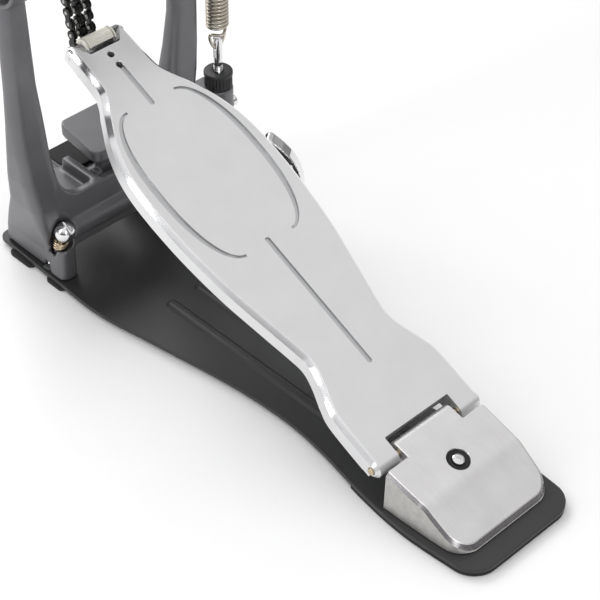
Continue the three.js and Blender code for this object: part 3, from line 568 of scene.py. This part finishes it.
def build_footboard():
    outline = plan_outline(board_half, -0.5, BOARD_END, 0, 2.6, 1.2)
    levels = [
        (0.5, BOARD_SKIRT), (0, BOARD_SKIRT + 0.5), (0, 1.8), (0.15, 2.2), (2.6, 4.62), (2.9, BOARD_TOP),
    ]
    board = board_object("footboard_plate", slab(outline, levels, False, [0, 0, 0, 1, 0]))
    across = Matrix.Rotation(math.radians(90), 4, "Y")
    knuckles = []
    for side in (-1, 1):
        turn = across if side > 0 else Matrix.Rotation(math.radians(-90), 4, "Y")
        knuckles.append(board_object("knuckle", cylinder(KNUCKLE, CUTOUT_HALF - 2, 38.0, 48, 1.9), turn))
    combine(board, knuckles, "UNION")

    pocket = plan_outline(lambda y: board_half(y) - 4.2, 14, 236, 4, 4, 3)
    tools = [
        slab(pocket, [(0, BOARD_SKIRT - 2), (0, BOARD_TOP - 4.6), (1, BOARD_TOP - 3.6)]),
        block((-CUTOUT_HALF, -12, -12), (CUTOUT_HALF, 9.1, 12), 0.8),
        block((-45, -9, -12), (45, 4, -KNUCKLE), 0.5),
        block((-10.5, 263.7, -12), (10.5, BOARD_END + 8, 12), 1.3),
        straight_channel(222.4, 252, 1.5),
        straight_channel(44.3, 128.6, 1.5),
        crescent_channel(-1),
        crescent_channel(1),
    ]
    for station in (258.8, 251.4):
        hole = lathe(
            [(0, -12), (1.9, -12), (1.9, BOARD_TOP - 0.4), (2.7, BOARD_TOP + 0.4), (0, BOARD_TOP + 0.4)], 40
        )
        bmesh.ops.translate(hole, verts=hole.verts, vec=(0, station, 0))
        tools.append(hole)
    cutters = [board_object("cutter", bm) for bm in tools]
    for name, radius, reach, station, above in (
        ("pin", 2.3, 50, 0, 0), ("toe", 1.9, 17.9, TOE_ALONG, TOE_ABOVE)
    ):
        bore = cylinder(radius, -reach, reach, 40)
        cutters.append(board_object(name, bore, Matrix.Translation((0, station, above)) @ across))
    for side in (-1, 1):
        set_screw = cylinder(0.95, 18.2, 20, 24)
        turn = Matrix.Translation((0, 269.3, -0.8)) @ Matrix.Rotation(math.radians(90 * side), 4, "Y")
        cutters.append(board_object("set_screw", set_screw, turn))
    combine(board, cutters)
    piece(board, "footboard", SATIN, ["footboard"], angle=14)


# ------------------------------------------------------------------ heel plate

HEEL_SLOPE = math.radians(14.5)
HEEL_START = -34.6
HEEL_SHOULDER = 16.0
HEEL_BREAK = -9.0
TONGUE_HALF = 19.9
heel_half = half_width([(HEEL_START, 33.2), (-20, 35), (0, 36), (HEEL_SHOULDER, 36.3)])


def heel_top(y):
    """Height of the heel plate's top face: one gentle slope, then a steeper heel."""
    hinge_top = HINGE.z + KNUCKLE / math.cos(HEEL_SLOPE)
    gentle = hinge_top + (y - HINGE.y) * math.tan(HEEL_SLOPE)
    break_top = hinge_top + (HEEL_BREAK - HINGE.y) * math.tan(HEEL_SLOPE)
    steep = break_top + (y - HEEL_BREAK) * (break_top - 7.2) / (HEEL_BREAK - HEEL_START)
    blend = 4.5
    share = min(max((y - HEEL_BREAK + blend) / (2 * blend), 0), 1)
    share = share * share * (3 - 2 * share)
    return steep + (gentle - steep) * share


def heel_object(name, bm, matrix=None):
    return raw_object(name, bm, matrix, [HEEL, HEEL_CHAMFER_SHADE, BLASTED])


def build_heel_plate():
    outline = plan_outline(heel_half, HEEL_START, HEEL_SHOULDER, 11, 0, 0.9)
    corner = len(outline) // 2
    outline = outline[corner:] + outline[:corner]  # from one front corner round the heel to the other

    def ring(distance, drop, low=None):
        loop = inset(outline, distance, False)
        return [
            Vector(
                (p.x, min(p.y, HEEL_SHOULDER), low if low is not None else max(heel_top(p.y) - drop, PLATE_TOP + 0.6))
            )
            for p in loop
        ]

    loops = [
        ring(0.2, 0, PLATE_TOP + 0.3), ring(0, 0, PLATE_TOP + 0.6), ring(0.5, 2.1), ring(2.1, 0.35), ring(2.5, 0.0)
    ]
    bm = bmesh.new()
    rings = [[bm.verts.new(point) for point in loop] for loop in loops]
    count = len(rings[0])
    for band, (low, high) in enumerate(zip(rings, rings[1:])):
        for i in range(count):
            j = (i + 1) % count
            face = bm.faces.new((low[i], low[j], high[j], high[i]))
            front = i == count - 1
            # The chamfer band (index 1) takes the darker chamfer material, which paints shade on the chamfer.
            face.material_index = 0 if front else (2, 2, 1, 0)[band]
    top = rings[-1]
    for i in range(count // 2 - 1):
        bm.faces.new((top[i], top[i + 1], top[count - 2 - i], top[count - 1 - i]))
    bm.faces.new(list(reversed(rings[0])))
    bmesh.ops.recalc_face_normals(bm, faces=bm.faces)
    plate = heel_object("heel_cover", bm)

    nose_height = HINGE.z + 1.2 * math.tan(HEEL_SLOPE) - 0.02
    nose = []
    for i in range(19):
        angle = math.radians(90 + math.degrees(HEEL_SLOPE) - 10 * i)
        nose.append((HINGE.y + 1.2 + KNUCKLE * math.cos(angle), nose_height + KNUCKLE * math.sin(angle)))
    side = nose + [(10, 13), (10, heel_top(10) - 0.02)]
    tongue_levels = ((-TONGUE_HALF, 0.5), (-TONGUE_HALF + 0.5, 0), (TONGUE_HALF - 0.5, 0), (TONGUE_HALF, 0.5))
    middle = Vector((HINGE.y - 3, HINGE.z - 2))
    loops = []
    for x, shrink in tongue_levels:
        loop = []
        for y, z in side:
            pull = (middle - Vector((y, z))).normalized() * shrink
            loop.append(Vector((x, y + pull.x, z + pull.y)))
        loops.append(loop)
    tongue = heel_object("tongue", loft(loops))
    foot = heel_object("foot", block((-12, -8, PLATE_TOP + 0.3), (12, 9, 20), 1))
    combine(plate, [tongue], "UNION")

    across = Matrix.Rotation(math.radians(90), 4, "Y")
    recess_axis = Vector((0, -math.sin(HEEL_SLOPE), math.cos(HEEL_SLOPE)))
    screw = centre("heel_washer")
    hollow = plan_outline(lambda y: heel_half(y) - 5, -18, 13, 5, 3, 2)
    cutters = [
        heel_object("hollow", loft([at_height(hollow, 0), at_height(hollow, 9)])),
        heel_object("bore", cylinder(2.3, -50, 50, 40), Matrix.Translation((0, HINGE.y, HINGE.z)) @ across),
    ]
    combine(plate, cutters)
    combine(plate, [foot], "UNION")
    recess = lathe([(0, -1.2), (6.3, -1.2), (6.3, 1.9), (6.9, 2.6), (6.9, 20), (0, 20)], 56)
    cutters = [
        heel_object("recess", recess, toward(recess_axis, screw)),
        heel_object("shank", cylinder(3.3, 0, 60, 32), Matrix.Translation((0, screw.y, 0))),
    ]
    combine(plate, cutters)
    piece(plate, "frame", HEEL, ["heel_plate"], angle=24)


def build_heel_screw():
    axis = Vector((0, -math.sin(HEEL_SLOPE), math.cos(HEEL_SLOPE)))
    place = centre("heel_washer")
    washer = hollow_lathe(
        [(2.95, -0.9), (5.7, -0.9), (6, -0.6), (6, 0.5), (5.6, 0.9), (3.3, 0.9), (2.95, 0.6)], 56
    )
    piece(
        raw_object("heel_washer_ring", washer, toward(axis, place)), "frame", RUBBER, ["heel_washer"]
    )
    head = lathe([(0, 1.2), (3.0, 1.2), (3.25, 1.5), (3.1, 2.2), (2.4, 2.6), (0, 2.75)], 48)
    screw = raw_object("heel_screw_head", head, toward(axis, place))
    hexagon = lathe([(0, 1.7), (1.5, 1.7), (1.5, 4), (0, 4)], 6)
    combine(screw, [raw_object("hexagon", hexagon, toward(axis, place))])
    shank = raw_object(
        "shank", cylinder(2.15, PLATE_LOW + 0.4, place.z + 1, 32), Matrix.Translation((0, place.y, 0))
    )
    combine(screw, [shank], "UNION")
    piece(screw, "frame", CHROME, ["heel_screw"])


# ------------------------------------------------------------------ base plate and rubber

HEEL_END = extent("base_plate")[0].y
DRUM_END = extent("base_plate")[1].y
SPUR_RADIUS = 5.9
plate_half = half_width([
    (HEEL_END, 36.8), (-30, 38.4), (0, 39.9), (30, 37), (66, 30.6), (95, 28), (134, 30.3), (187, 38.7),
    (225, 44.7), (262, 44.3), (DRUM_END, 42.5),
])


def build_base_plate():
    outline = plan_outline(plate_half, HEEL_END, DRUM_END, 13, 6, 2)
    plate = raw_object(
        "base_plate_sheet",
        slab(outline, [(0.5, PLATE_LOW), (0, PLATE_LOW + 0.4), (0, PLATE_TOP - 0.5), (0.15, PLATE_TOP - 0.15),
                       (0.5, PLATE_TOP)]),
    )
    ribs = []
    for side in (-1, 1):
        rib = rounded_rectangle(side * 10.4 - 3.7, side * 10.4 + 3.7, 40, 206, 3.6, 10)
        levels = [(0, PLATE_TOP - 1)]
        for i in range(8):
            share = i / 7
            levels.append((2.6 * share, PLATE_TOP + 1.7 * math.sin(share * math.pi / 2)))
        ribs.append(raw_object("rib", slab(rib, levels)))
    combine(plate, ribs, "UNION")
    tilt = spur_axis()
    holes = []
    for side in ("left", "right"):
        place = toward(tilt, spur_ball(f"spur_screw_{side}"))
        holes.append(raw_object("hole", cylinder(3.6, 20, 60, 32), place))
    holes.append(
        raw_object("hole", cylinder(3.3, 0, 9, 32), Matrix.Translation((0, centre("heel_washer").y, 0)))
    )
    combine(plate, holes)
    piece(plate, "frame", POWDER, ["base_plate"], angle=22)

    pad_outline = plan_outline(lambda y: plate_half(y) - 0.2, HEEL_END + 0.2, 41, 13, 2, 2)
    pad = slab(pad_outline, [(0.4, 0), (0, 0.4), (0, 1.7), (0.3, 2.0)])
    piece(raw_object("heel_pad_rubber", pad), "frame", RUBBER, ["heel_pad"], angle=40)


def spur_axis():
    lean = math.radians(26)
    return Vector((0, math.sin(lean), -math.cos(lean)))


def spur_ball(screw):
    """Middle of a spur screw's ball head, which is the screw's highest point and nearest the heel."""
    low, high = extent(screw)
    return Vector((centre(screw).x, low.y + SPUR_RADIUS, high.z - SPUR_RADIUS))


# ------------------------------------------------------------------ chain

link_names = sorted(name for name in frame["nodes"] if name.startswith("chain_link_"))
PITCH = (centre(link_names[9]) - centre(link_names[0])).length / 9
chain_up = (centre(link_names[9]) - centre(link_names[0])).normalized()
PLATE_RADIUS = 2.9


def link_outline():
    """Figure-of-eight plate around two pins, in the link's own plane."""
    outline = []
    for height, start in ((PITCH / 2, -48), (-PITCH / 2, 132)):
        for i in range(15):
            angle = math.radians(start + 276 * i / 14)
            outline.append(Vector((PLATE_RADIUS * math.cos(angle), height + PLATE_RADIUS * math.sin(angle))))
    return outline


def link_plate(left, right):
    edge = 0.18
    return slab(link_outline(), [(edge, left), (0, left + edge), (0, right - edge), (edge, right)])


def bar(radius, reach, height):
    """Pin across a link at a height along it, with domed ends."""
    dome = 0.25
    profile = [(0, -reach), (radius - dome, -reach), (radius, dome - reach)]
    profile += [(radius, reach - dome), (radius - dome, reach), (0, reach)]
    return lathe(profile, 20), Matrix.Translation((0, height, 0))


def build_link(index, name):
    middle = centre(name)
    up = chain_up
    if index > 9:
        outward = Vector((0, middle.y - AXLE.y, middle.z - AXLE.z)).normalized()
        up = Vector((0, -outward.z, outward.y))
        if up.z < 0 and index < 12:
            up = -up
    # Local x is square to the link, local y runs along it and local z lies across the chain.
    basis = Matrix((
        (0, 0, 1, middle.x),
        (up.z, up.y, 0, middle.y),
        (-up.y, up.z, 0, middle.z),
        (0, 0, 0, 1),
    ))
    outer = index % 2 == 0
    shells = []
    if outer:
        for left, right in ((6.6, 7.6), (-7.6, -6.6), (-0.85, 0.85)):
            shells.append((link_plate(left, right), Matrix()))
        plates = raw_object(name + "_plates", join_shells(shells), basis)
        pins = [bar(1.15, 7.95, -PITCH / 2), bar(1.15, 7.95, PITCH / 2)]
        pin = raw_object(name + "_pins", join_shells(pins), basis)
    else:
        for left, right in ((4.9, 6.2), (-6.2, -4.9), (1.25, 2.2), (-2.2, -1.25)):
            shells.append((link_plate(left, right), Matrix()))
        plates = raw_object(name + "_plates", join_shells(shells), basis)
        rollers = []
        for height in (-PITCH / 2, PITCH / 2):
            for side in (-1, 1):
                profile = [(1.3, 2.3), (1.8, 2.3), (1.95, 2.5), (1.95, 4.6), (1.8, 4.8), (1.3, 4.8)]
                ring = hollow_lathe([(r, side * z) for r, z in profile], 20)
                rollers.append((ring, Matrix.Translation((0, height, 0))))
        pin = raw_object(name + "_rollers", join_shells(rollers), basis)
    body = next(body for body, nodes in frame["record"]["behaviour"]["bodies"].items() if name in nodes)
    piece(plates, body, CHAIN, [name], angle=40)
    piece(pin, body, CHAIN_STEEL, (), angle=40)


def build_roller():
    """Ribbed block roller on the toe pin, with an end flange and a groove beside it."""
    profile_steps = 120
    stations = [(-10, 4.5), (-9.7, 4.95), (-8.75, 4.95), (-8.7, 3.6), (-8.2, 3.6), (-8.15, 4.9), (8.15, 4.9),
                (8.2, 3.6), (8.7, 3.6), (8.75, 4.95), (9.7, 4.95), (10, 4.5)]
    loops = []
    for x, radius in stations:
        loop = []
        for i in range(profile_steps):
            angle = FULL * i / profile_steps
            ribbed = abs(x) < 8.18 and radius > 4
            local = radius - (0.22 * (0.5 - 0.5 * math.cos(30 * angle)) if ribbed else 0)
            loop.append(Vector((local * math.cos(angle), local * math.sin(angle), x)))
        loops.append(loop)
    across = Matrix.Rotation(math.radians(90), 4, "Y")
    roller = raw_object("block_roller", loft(loops), Matrix.Translation(TOE) @ across)
    bore = raw_object("bore", cylinder(1.9, -20, 20, 32), Matrix.Translation(TOE) @ across)
    combine(roller, [bore])
    piece(roller, "toe_roller", ROLLER, ["toe_roller"], angle=32)


# ------------------------------------------------------------------ axle, cam and beater

rod_up = Vector((0, -math.sin(math.radians(42)), math.cos(math.radians(42))))
CAM_RADIUS = 27.95


def build_cam():
    across = Matrix.Translation((0, AXLE.y, AXLE.z)) @ Matrix.Rotation(math.radians(90), 4, "Y")
    rim = [
        (0, -4.0), (23, -4.0), (23.6, -4.3), (27.5, -4.3), (CAM_RADIUS, -3.9), (CAM_RADIUS, -2.9), (
            26.6, -2.5
        ),
        (26.6, 2.5), (CAM_RADIUS, 2.9), (CAM_RADIUS, 3.9), (27.5, 4.3), (23.6, 4.3), (23, 4.0), (0, 4.0),
    ]
    cam = raw_object("cam_wheel", lathe(rim, 96), across)
    hub = [(0, -13), (9.6, -13), (10.5, -12.2), (10.5, 12.2), (9.6, 13), (0, 13)]
    parts = [raw_object("hub", lathe(hub, 64), across)]
    socket = [(0, 4), (7.2, 4), (7.2, 41), (6.4, 42), (0, 42)]
    place = toward(rod_up, Vector((0, AXLE.y, AXLE.z)))
    parts.append(raw_object("socket", lathe(socket, 56), place))
    combine(cam, parts, "UNION")
    cutters = [raw_object("rod_bore", cylinder(3.3, 11, 60, 40), place)]
    hexagon = raw_object("hexagon", cylinder(6.3, -30, 30, 6), across)
    cutters.append(hexagon)
    screw_place = centre("beater_screw")
    out = -Vector((0, math.cos(math.radians(42)), math.sin(math.radians(42))))
    cutters.append(raw_object("screw_bore", cylinder(2.8, -12, 2, 32), toward(out, screw_place)))
    for i in range(5):
        angle = FULL * (i + 0.5) / 6 + math.radians(152)
        point = Vector((0, AXLE.y + 17.2 * math.cos(angle), AXLE.z + 17.2 * math.sin(angle)))
        turn = Matrix.Translation(point) @ Matrix.Rotation(math.radians(90), 4, "Y")
        cutters.append(raw_object("window", cylinder(4.6, -8, 8, 40), turn))
    combine(cam, cutters)
    piece(cam, "beater_axle", CASTING, ["cam"], angle=30)


def build_bearings():
    for side, name in ((-1, "bearing_left"), (1, "bearing_right")):
        place = centre(name)
        ring = hollow_lathe([
            (6.6, -3.6), (7.2, -4), (8, -4), (8.1, -3.4), (9.7, -3.4), (9.8, -4), (10.6, -4), (11, -3.6), (
                11, 3.6
            ),
            (10.6, 4), (9.8, 4), (9.7, 3.4), (8.1, 3.4), (8, 4), (7.2, 4), (6.6, 3.6),
        ], 64)
        turn = Matrix.Translation(place) @ Matrix.Rotation(math.radians(90), 4, "Y")
        piece(raw_object(name + "_race", ring, turn), "frame", STEEL, [name])


def build_beater():
    origin = Vector((0, AXLE.y, AXLE.z))
    rod = lathe([(0, 12), (2.6, 12), (3, 12.5), (3, 214.6), (2.2, 216), (0, 216)], 40)
    piece(raw_object("beater_shaft", rod, toward(rod_up, origin)), "beater", CHROME, ["beater_rod"])
    head_place = origin + rod_up * 196
    face = Vector((0, math.cos(math.radians(42)), math.sin(math.radians(42))))
    profile = [(0, -20), (12, -19.9), (18.5, -19.3), (22, -17.6), (23.6, -14.5), (24, -10), (24, 10), (
        23.6, 14.5
    ),
               (22, 17.6), (18.5, 19.3), (12, 19.9), (0, 20)]
    fine = [(p.x, p.y) for p in smooth_path([Vector((r, h, 0)) for r, h in profile], 4)]
    fine = [(0 if i in (0, len(fine) - 1) else max(r, 0.01), h) for i, (r, h) in enumerate(fine)]
    felt = raw_object("beater_head_felt", lathe(fine, 96), toward(face, head_place))
    combine(felt, [raw_object("bore", cylinder(6.3, 150, 240, 48), toward(rod_up, origin))])
    piece(felt, "beater", FELT, ["beater_felt"], angle=40)
    hub = lathe([(0, 167), (5.2, 167), (6, 168), (6, 222), (5.2, 223), (0, 223)], 48)
    hub = raw_object("beater_core", hub, toward(rod_up, origin))
    combine(hub, [raw_object("bore", cylinder(3.3, 150, 216.3, 40), toward(rod_up, origin))])
    piece(hub, "beater", PLASTIC, ["beater_hub"])


# ------------------------------------------------------------------ spring, eye bolt and knob


def threaded(radius, low, high, pitch, depth, sides=28):
    """Threaded rod about +Z."""
    loops = []
    steps = int((high - low) / (pitch / 6))
    for i in range(steps + 1):
        z = low + (high - low) * i / steps
        fade = min(1, (z - low) / pitch, (high - z) / pitch)
        loop = []
        for k in range(sides):
            angle = FULL * k / sides
            phase = (z / pitch - angle / FULL) % 1
            wave = abs(2 * phase - 1)
            r = radius - depth * (1 - wave) * fade - depth * (1 - fade)
            loop.append(Vector((r * math.cos(angle), r * math.sin(angle), z)))
        loops.append(loop)
    return loft(loops)


def build_eye_bolt():
    low, high = extent("eye_bolt")
    place = Matrix.Translation((EYE.x, EYE.y, 0))
    neck = 97
    thread = threaded(2.7, low.z, neck, 1.1, 0.38)
    bolt = raw_object("eye_bolt_threaded", thread, place)
    eye = lathe(
        [(0, neck - 0.5), (2.3, neck - 0.5), (2.7, neck + 0.6), (2.7, high.z - 0.9), (1.9, high.z), (0, high.z)], 40
    )
    combine(bolt, [raw_object("eye", eye, place)], "UNION")
    slot = rounded_rectangle(-1.3, 1.3, 102, 112.6, 1.25, 8)
    slot_loft = loft([[Vector((x, p.x, p.y)) for p in slot] for x in (-5, 5)])
    combine(bolt, [raw_object("slot", slot_loft, place)])
    piece(bolt, "eye_bolt", CHROME, ["eye_bolt"], angle=32)


def build_spring():
    radius, low, high, turns = 5.6, 122, 166, 19
    per_turn = 26
    coil = []
    for i in range(turns * per_turn + 1):
        angle = FULL * i / per_turn
        z = low + (high - low) * i / (turns * per_turn)
        coil.append(Vector((radius * math.cos(angle), radius * math.sin(angle), z)))
    lower = [
        (radius, 0.6, low - 1), (5.2, 0, 115), (2.6, 0, 109.3), (0, 0, 107.9), (-2.6, 0, 109.3), (
            -5.2, 0, 114
        ),
        (-radius, -0.6, low - 3.4), (-1, -radius, low - 2.6),
    ]
    eye = extent("extension_spring")[1].z - 0.9
    upper = [
        (1, radius, high + 2), (0, 5.4, high + 4.5), (0, 3, eye - 1.2), (0, 0, eye), (0, -3, eye - 1.2),
        (0, -5.4, high + 4.5),
    ]
    lower = [Vector(point) for point in lower]
    upper = [Vector(point) for point in upper]
    start = smooth_path(lower + [coil[0], coil[4]], 8)[:-9]
    finish_path = smooth_path([coil[-5], coil[-1]] + upper, 8)[9:]
    path = [point + Vector((EYE.x, EYE.y, 0)) for point in start + coil + finish_path]
    spring = raw_object("coil_spring", tube(path, 0.9, 10))
    spring.data.transform(Matrix.Scale(MM, 4))
    spring.data.materials.append(SPRING_WIRE)
    shade(spring.data, 50)
    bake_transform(spring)
    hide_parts("extension_spring")


def build_knob():
    low, high = extent("tension_knob")
    bottom, top, radius = low.z, high.z, 8.3
    sides = 216
    levels = [
        (bottom, radius - 1.2, 0), (bottom + 0.5, radius - 0.5, 0.3), (bottom + 0.9, radius - 0.3, 1),
        (top - 3.0, radius - 0.3, 1), (top - 2.6, radius - 0.5, 0.4), (top - 2.4, radius, 0),
        (top - 0.7, radius, 0), (top - 0.2, radius - 0.35, 0), (top, radius - 0.9, 0), (top, 3.9, 0),
        (top - 0.35, 3.6, 0),
    ]
    loops = []
    for z, r, depth in levels:
        loop = []
        for i in range(sides):
            angle = FULL * i / sides
            wave = 0.5 - 0.5 * math.cos(24 * angle)
            local = r - 0.75 * depth * wave**1.6
            loop.append(Vector((local * math.cos(angle), local * math.sin(angle), z)))
        loops.append(loop)
    place = Matrix.Translation((EYE.x, EYE.y, 0))
    knob = raw_object("knurled_knob", loft(loops), place)
    combine(knob, [raw_object("bore", cylinder(3.05, bottom - 2, top + 2, 40), place)])
    piece(knob, "tension_knob", PLASTIC, ["tension_knob"], angle=30)


# ------------------------------------------------------------------ spur screws


def build_spur(side, name):
    screw = f"spur_screw_{name}"
    radius = SPUR_RADIUS
    axis = spur_axis()
    ball = spur_ball(screw)
    profile = []
    for i in range(15):
        angle = math.radians(-90 + 150 * i / 14)
        profile.append((max(radius * math.cos(angle), 0), radius * math.sin(angle)))
    profile[0] = (0, -radius)
    profile += [(2.9, 5.25), (2.5, 5.9), (2.5, 7.2), (2.2, 7.4), (2.2, 32.6), (2.5, 33), (0, 37.4)]
    place = toward(axis, ball)
    obj = raw_object(f"spur_{name}", lathe(profile, 56), place)
    cross = raw_object("slot", block((-0.7, -8, -7), (0.7, 8, -3.9), 0.3), place)
    combine(obj, [cross])
    body = f"spur_{name}"
    piece(obj, body, CHROME, [screw], angle=34)
    points = []
    for i in range(3 * 28 + 1):
        angle = FULL * i / 28
        points.append(place @ Vector((3.7 * math.cos(angle), 3.7 * math.sin(angle), 7.4 + 6 * i / 84)))
    spring = raw_object(f"spur_coil_{name}", tube(points, 0.65, 10))
    piece(spring, body, BRASSY, [f"spur_spring_{name}"], angle=50)


# ------------------------------------------------------------------ cast parts and the remaining CAD nodes


def build_castings():
    plan = [
        ("yoke_casting", "yoke_frame", "frame", "grey_casting", CASTING, 0.85, 6),
        ("clamp_jaw", "clamp_jaw_plate", "clamp_jaw", "grey_casting", CASTING, 0.55, 8),
        ("rocker_arm", "rocker_lever", "beater_axle", "grey_casting", CASTING, 0.45, 5),
        ("wing_bolt", "wing_bolt_cast", "wing_bolt", "chrome", CHROME, 0.4, 5),
    ]
    for node, name, body, slot, material, voxel, rounds in plan:
        obj = softened(node, voxel, rounds)
        obj.name = name
        piece(obj, body, material, [node], angle=60)


KEPT = {
    "toe_pad_rear_left": RUBBER, "toe_pad_rear_right": RUBBER, "toe_pad_front_left": RUBBER,
    "toe_pad_front_right": RUBBER, "clamp_seat_pad": RUBBER, "hinge_pin": BRASSY, "toe_pin": STEEL,
    "chain_anchor": POWDER, "anchor_screw_1": DARK_SCREW, "anchor_screw_2": DARK_SCREW, "axle": STEEL,
    "beater_screw": CHROME, "spring_stirrup": CHROME, "lock_nut": CHROME, "bracket_screw": CHROME,
    "clamp_pin": STEEL, "wing_collar": PLASTIC,
}


def finish_kept_nodes():
    for name, material in KEPT.items():
        obj = frame["nodes"][name]
        obj.data.materials.clear()
        obj.data.materials.append(material)
        round_edges(obj, 0.25, 32)
        shade(obj.data, 32)


# ------------------------------------------------------------------ studio


def build_camera():
    data = bpy.data.cameras.new("photo_camera")
    data.sensor_width = 36
    data.lens = 1934.6 / 600 * 36
    data.clip_start = 0.01
    data.clip_end = 20
    camera = bpy.data.objects.new("photo_camera", data)
    yaw, pitch, roll = math.radians(44.763), math.radians(40.910), math.radians(-0.864)
    forward = Vector((math.sin(yaw) * math.cos(pitch), math.cos(yaw) * math.cos(pitch), -math.sin(pitch)))
    level = Vector((math.cos(yaw), -math.sin(yaw), 0))
    upright = level.cross(forward)
    right = math.cos(roll) * level - math.sin(roll) * upright
    up = math.sin(roll) * level + math.cos(roll) * upright
    turn = Matrix((right, up, -forward)).transposed().to_4x4()
    camera.matrix_world = Matrix.Translation((-0.5279, -0.4190, 0.7077)) @ turn
    bpy.context.scene.collection.objects.link(camera)
    bpy.context.scene.camera = camera


def soft_light(name, place, target, width, height, power):
    data = bpy.data.lights.new(name, "AREA")
    data.shape = "RECTANGLE"
    data.size = width
    data.size_y = height
    data.energy = power
    light = bpy.data.objects.new(name, data)
    direction = Vector(target) - Vector(place)
    light.matrix_world = Matrix.Translation(place) @ direction.to_track_quat("-Z", "Y").to_matrix().to_4x4()
    bpy.context.scene.collection.objects.link(light)


def build_studio():
    bm = bmesh.new()
    bmesh.ops.create_grid(bm, x_segments=1, y_segments=1, size=6)
    floor = raw_object("floor", bm, Matrix.Translation((0, 0, -0.0002)))
    floor.data.materials.append(
        finish(
            "pale_floor", (0.94, 0.94, 0.94), (0.96, 0.96, 0.96), 0, 0.6, cloud=2, grain=(90, 90, 90), bump=0.02
        )
    )

    world = bpy.data.worlds.new("studio")
    bpy.context.scene.world = world
    world.use_nodes = True
    tree = world.node_tree
    background = tree.nodes["Background"]
    coordinates = tree.nodes.new("ShaderNodeTexCoord")
    split = tree.nodes.new("ShaderNodeSeparateXYZ")
    tree.links.new(coordinates.outputs["Generated"], split.inputs[0])
    rise = tree.nodes.new("ShaderNodeMapRange")
    rise.interpolation_type = "SMOOTHSTEP"
    rise.inputs["From Min"].default_value = 0.05
    rise.inputs["From Max"].default_value = 0.8
    rise.inputs["To Min"].default_value = 0.16
    rise.inputs["To Max"].default_value = 0.86
    tree.links.new(split.outputs["Z"], rise.inputs["Value"])
    panels = tree.nodes.new("ShaderNodeTexNoise")
    panels.inputs["Scale"].default_value = 3.4
    panels.inputs["Detail"].default_value = 1
    tree.links.new(coordinates.outputs["Generated"], panels.inputs["Vector"])
    contrast = tree.nodes.new("ShaderNodeMapRange")
    contrast.inputs["From Min"].default_value = 0.42
    contrast.inputs["From Max"].default_value = 0.58
    contrast.inputs["To Min"].default_value = 0.3
    contrast.inputs["To Max"].default_value = 1.7
    tree.links.new(panels.outputs["Fac"], contrast.inputs["Value"])
    lit = tree.nodes.new("ShaderNodeMath")
    lit.operation = "MULTIPLY"
    tree.links.new(rise.outputs["Result"], lit.inputs[0])
    tree.links.new(contrast.outputs["Result"], lit.inputs[1])
    choose = tree.nodes.new("ShaderNodeMix")
    tree.links.new(rise.outputs["Result"], choose.inputs[0])
    tree.links.new(lit.outputs[0], choose.inputs[2])
    tree.links.new(rise.outputs["Result"], choose.inputs[3])
    tree.links.new(choose.outputs[0], background.inputs["Strength"])
    background.inputs["Color"].default_value = (1, 1, 1, 1)

    target = (0, 0.14, 0.1)
    soft_light("back", (0.2, 1.6, 1.3), target, 1.6, 0.9, 16)
    soft_light("left", (-1.3, 0.45, 0.75), target, 0.3, 1.1, 5)
    soft_light("front", (-0.6, -1.2, 0.8), target, 0.4, 0.9, 4)
    bpy.context.scene.view_settings.view_transform = "Standard"


# ------------------------------------------------------------------ build

build_camera()
build_studio()
build_footboard()
build_heel_plate()
build_heel_screw()
build_base_plate()
for link_index, link_name in enumerate(link_names):
    build_link(link_index, link_name)
build_roller()
build_cam()
build_bearings()
build_beater()
build_eye_bolt()
build_spring()
build_knob()
for spur_side, spur_name in ((-1, "left"), (1, "right")):
    build_spur(spur_side, spur_name)
build_castings()
finish_kept_nodes()
